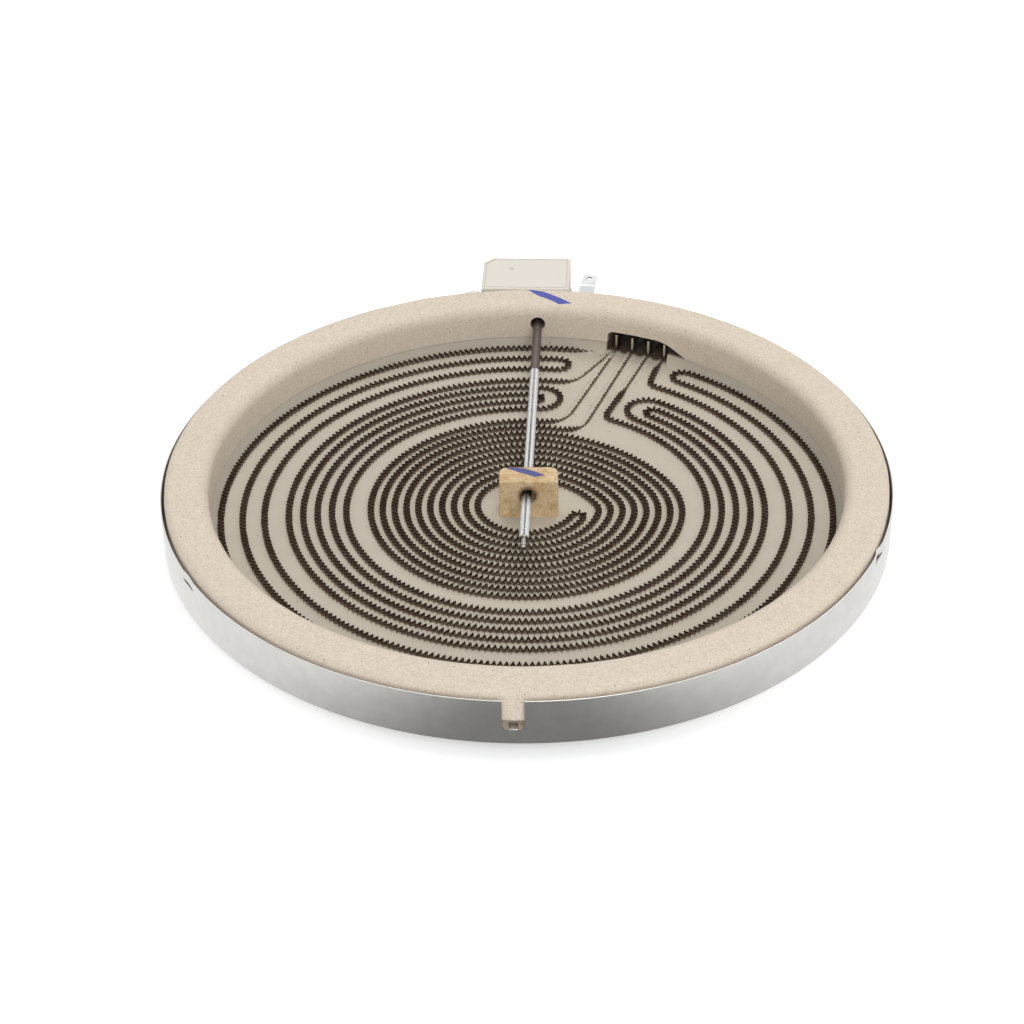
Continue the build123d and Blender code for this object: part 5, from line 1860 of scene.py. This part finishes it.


# ---------------------------------------------------------------- finishes
# Painted shade, soft and brown: on the walls of the arch and of the rod's hole, outwards from the ring's
# inner face, on the base under the arch, and round the front of the block's bore.
INNER_FACE = 134.2 * MM
SHADE_TOP = 26 * MM
ARCH_MIDDLE = polar(143 * MM, TERMINAL_AZIMUTH, 16 * MM)
ARCH_SHADE = PaintedShade(ARCH_MIDDLE, 60 * MM, beyond=INNER_FACE, below=SHADE_TOP)
HOLE_SHADE = PaintedShade(Vector((-6, 143, 20)) * MM, 22 * MM, beyond=INNER_FACE, below=SHADE_TOP)
RECESS_SHADE = PaintedShade(ARCH_MIDDLE, 60 * MM, beyond=132.4 * MM, below=19 * MM, soft=3 * MM)
BORE_SHADE = PaintedShade(Vector((0.45, -8, 21.5)) * MM, 5.6 * MM)
# Thin blue paint from a brush: ragged, so that the grains show through at its sides.
RING_PAINT = PaintStroke((0.6 * MM, 150.6 * MM), -37.5, 23.0 * MM, 4.6 * MM, 26 * MM, bow=0.35, point=0.35)
BLOCK_PAINT = PaintStroke(
    (-9.8 * MM, 3.6 * MM), -24.0, 17.2 * MM, 3.7 * MM, 27 * MM, bow=0.45, point=0.45, colour="#5A5A8E"
)
# Vermiculite pressed with silicate: matt, warm off-white, brown flakes and small pits; painted shade in its
# arch and its rod's hole.
VERMICULITE = PressedMineral(
    "pressed_vermiculite", "#DCCEBC", 0.9, cloud_colour="#D4C5B1", speck=0.55 * MM, speck_share=0.07,
    grain=0.7 * MM, grain_shade=0.08, soot_and_shade_colour="#6E5C4C", painted_shades=(ARCH_SHADE, HOLE_SHADE),
    paint=(RING_PAINT,), slot=Slot.RING,
)
# Microporous silica pressed in a mould: greyer and finer than the ring, almost without flakes. Its powder is
# far too fine to show, so the grain is drawn at 0.3 mm.
# Painted shade darkens its seam under the ring's foot and its recess under the arch; its default brown also
# tints the strips' beds.
MICROPOROUS = PressedMineral(
    "pressed_microporous_silica", "#C4BBAA", 0.92, cloud_colour="#BBB19F", speck_share=0.02, grain=0.3 * MM,
    grain_shade=0.02, grain_depth=0.1 * MM, shaded_seam=(14.6 * MM, 16.6 * MM), painted_shades=(RECESS_SHADE,),
    slot=Slot.BASE,
)
# Fibre and vermiculite block: coarse, tan, strongly speckled, with painted shade round the front of its bore.
BLOCK_BOARD = PressedMineral(
    "pressed_support_board", "#D9BF97", 0.9, speck_colour="#7A5230", cloud_colour="#BE9A68", speck=0.6 * MM,
    speck_share=0.5, grain=0.8 * MM, grain_shade=0.11, grain_depth=0.5 * MM, cloud=5 * MM, cloud_share=0.7,
    soot_and_shade_colour="#6B4A30", paint=(BLOCK_PAINT,), painted_shades=(BORE_SHADE,), slot=Slot.BLOCK,
)
# Aluminised sheet as drawn: dull grey metal that blurs what it mirrors.
ALUMINISED = RolledSheet(
    "aluminised_steel_sheet", "#C3C2BF", 0.34, metallic=1.0, spangle_colour="#C8C7C3", slot=Slot.TRAY
)
# Zinc-plated sheet: a little paler and bluer than the tray.
ZINC_SHEET = RolledSheet("zinc_plated_sheet", "#C9CBCB", 0.35, metallic=1.0, spangle_colour="#D6D8D8")
# Resistance strip after its first heating: satin metal under a thin brown oxide, with painted shade on its
# upper edge and dust with painted light at its foot.
STRIP = OxidisedStrip("oxidised_resistance_strip", "#AEA294", 0.34, metallic=0.9, slot=Slot.RIBBON)
# Nickel-plated tabs: the brightest metal, slightly warm.
NICKEL = Finish("bright_nickel_strip", "#D9D6CF", 0.22, metallic=1.0)
# Steatite as fired, without glaze: ivory, with a faint sheen.
STEATITE = Finish("fired_steatite", "#DED7CB", 0.45)
# Plated rivets and screws: plain grey metal.
RIVET = Finish("plated_rivet_steel", "#B9BAB8", 0.35, metallic=1.0)
# Tube oxidised by heat: dark brown, half dull.
DARK_SLEEVE = Finish("oxidised_tube", "#5A504C", 0.42, metallic=0.6, slot=Slot.SLEEVE)
# Fused quartz as drawn: clear and smooth, so its rod shows as a dark line; a painted highlight runs down its
# flanks.
QUARTZ = DrawnQuartz("fused_quartz", "#FFFFFF", 0.04, ior=1.46, slot=Slot.QUARTZ)
# Turned steel with a thin scale: grey and rather bright.
FERRULE = Finish("turned_scaled_steel", "#9B9892", 0.3, metallic=1.0, slot=Slot.FERRULE)
# Drawn alloy rod, darkened by heat.
ROD = Finish("drawn_alloy_rod", "#5B534E", 0.4, metallic=0.8)
# Spring strip: smooth rolled grey metal.
SPRING = Finish("spring_steel_strip", "#A5A5A3", 0.3, metallic=1.0)
# Silver-plated levers: pale and bright.
CONTACT = Finish("silver_plated_lever", "#DCDCDA", 0.25, metallic=1.0)

NODE_FINISHES: tuple[tuple[Finish, tuple[str, ...]], ...] = (
    (BLOCK_BOARD, ("centre_block",)),
    (NICKEL, (
        "common_terminal", "inner_terminal", "middle_terminal", "outer_terminal", "limit_terminal",
        "signal_terminal", "pivot_terminal",
    )),
    (STEATITE, ("terminal_block", "limiter_housing", "limiter_cover", "lever_spacers")),
    (RIVET, ("block_rivets", "bracket_rivets", "limiter_screws")),
    (ZINC_SHEET, ("limiter_bracket",)),
    (DARK_SLEEVE, ("compensating_sleeve",)),
    (QUARTZ, ("quartz_tube",)),
    (FERRULE, ("rod_ferrule", "rod_collar")),
    (ROD, ("expansion_rod",)),
    (SPRING, ("rod_spring",)),
    (CONTACT, ("limit_lever", "signal_lever")),
    (ALUMINISED, ("tray",)),
    (MICROPOROUS, ("base_insulation",)),
    (VERMICULITE, ("insulation_ring",)),
    (STRIP, ("outer_ribbon", "middle_ribbon", "inner_ribbon")),
)


def dress_nodes() -> None:
    """Give every node of the frame its finish."""
    for finish, names in NODE_FINISHES:
        for name in names:
            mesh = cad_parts[name].data
            mesh.materials.clear()
            mesh.materials.append(finish.material())


def main() -> None:
    """Build the heater's looks in order, from the studio inwards."""
    logging.basicConfig(level=logging.INFO, format="%(name)s %(message)s")
    Studio().build()
    dress_nodes()
    layout = Layout()
    for assembly in (Tray, Insulation, HeatingCircuits, CentreBlock, RodSheath):
        assembly(layout).build()
        LOG.info("%s in place", assembly.__name__)


if __name__ == "__main__":
    main()
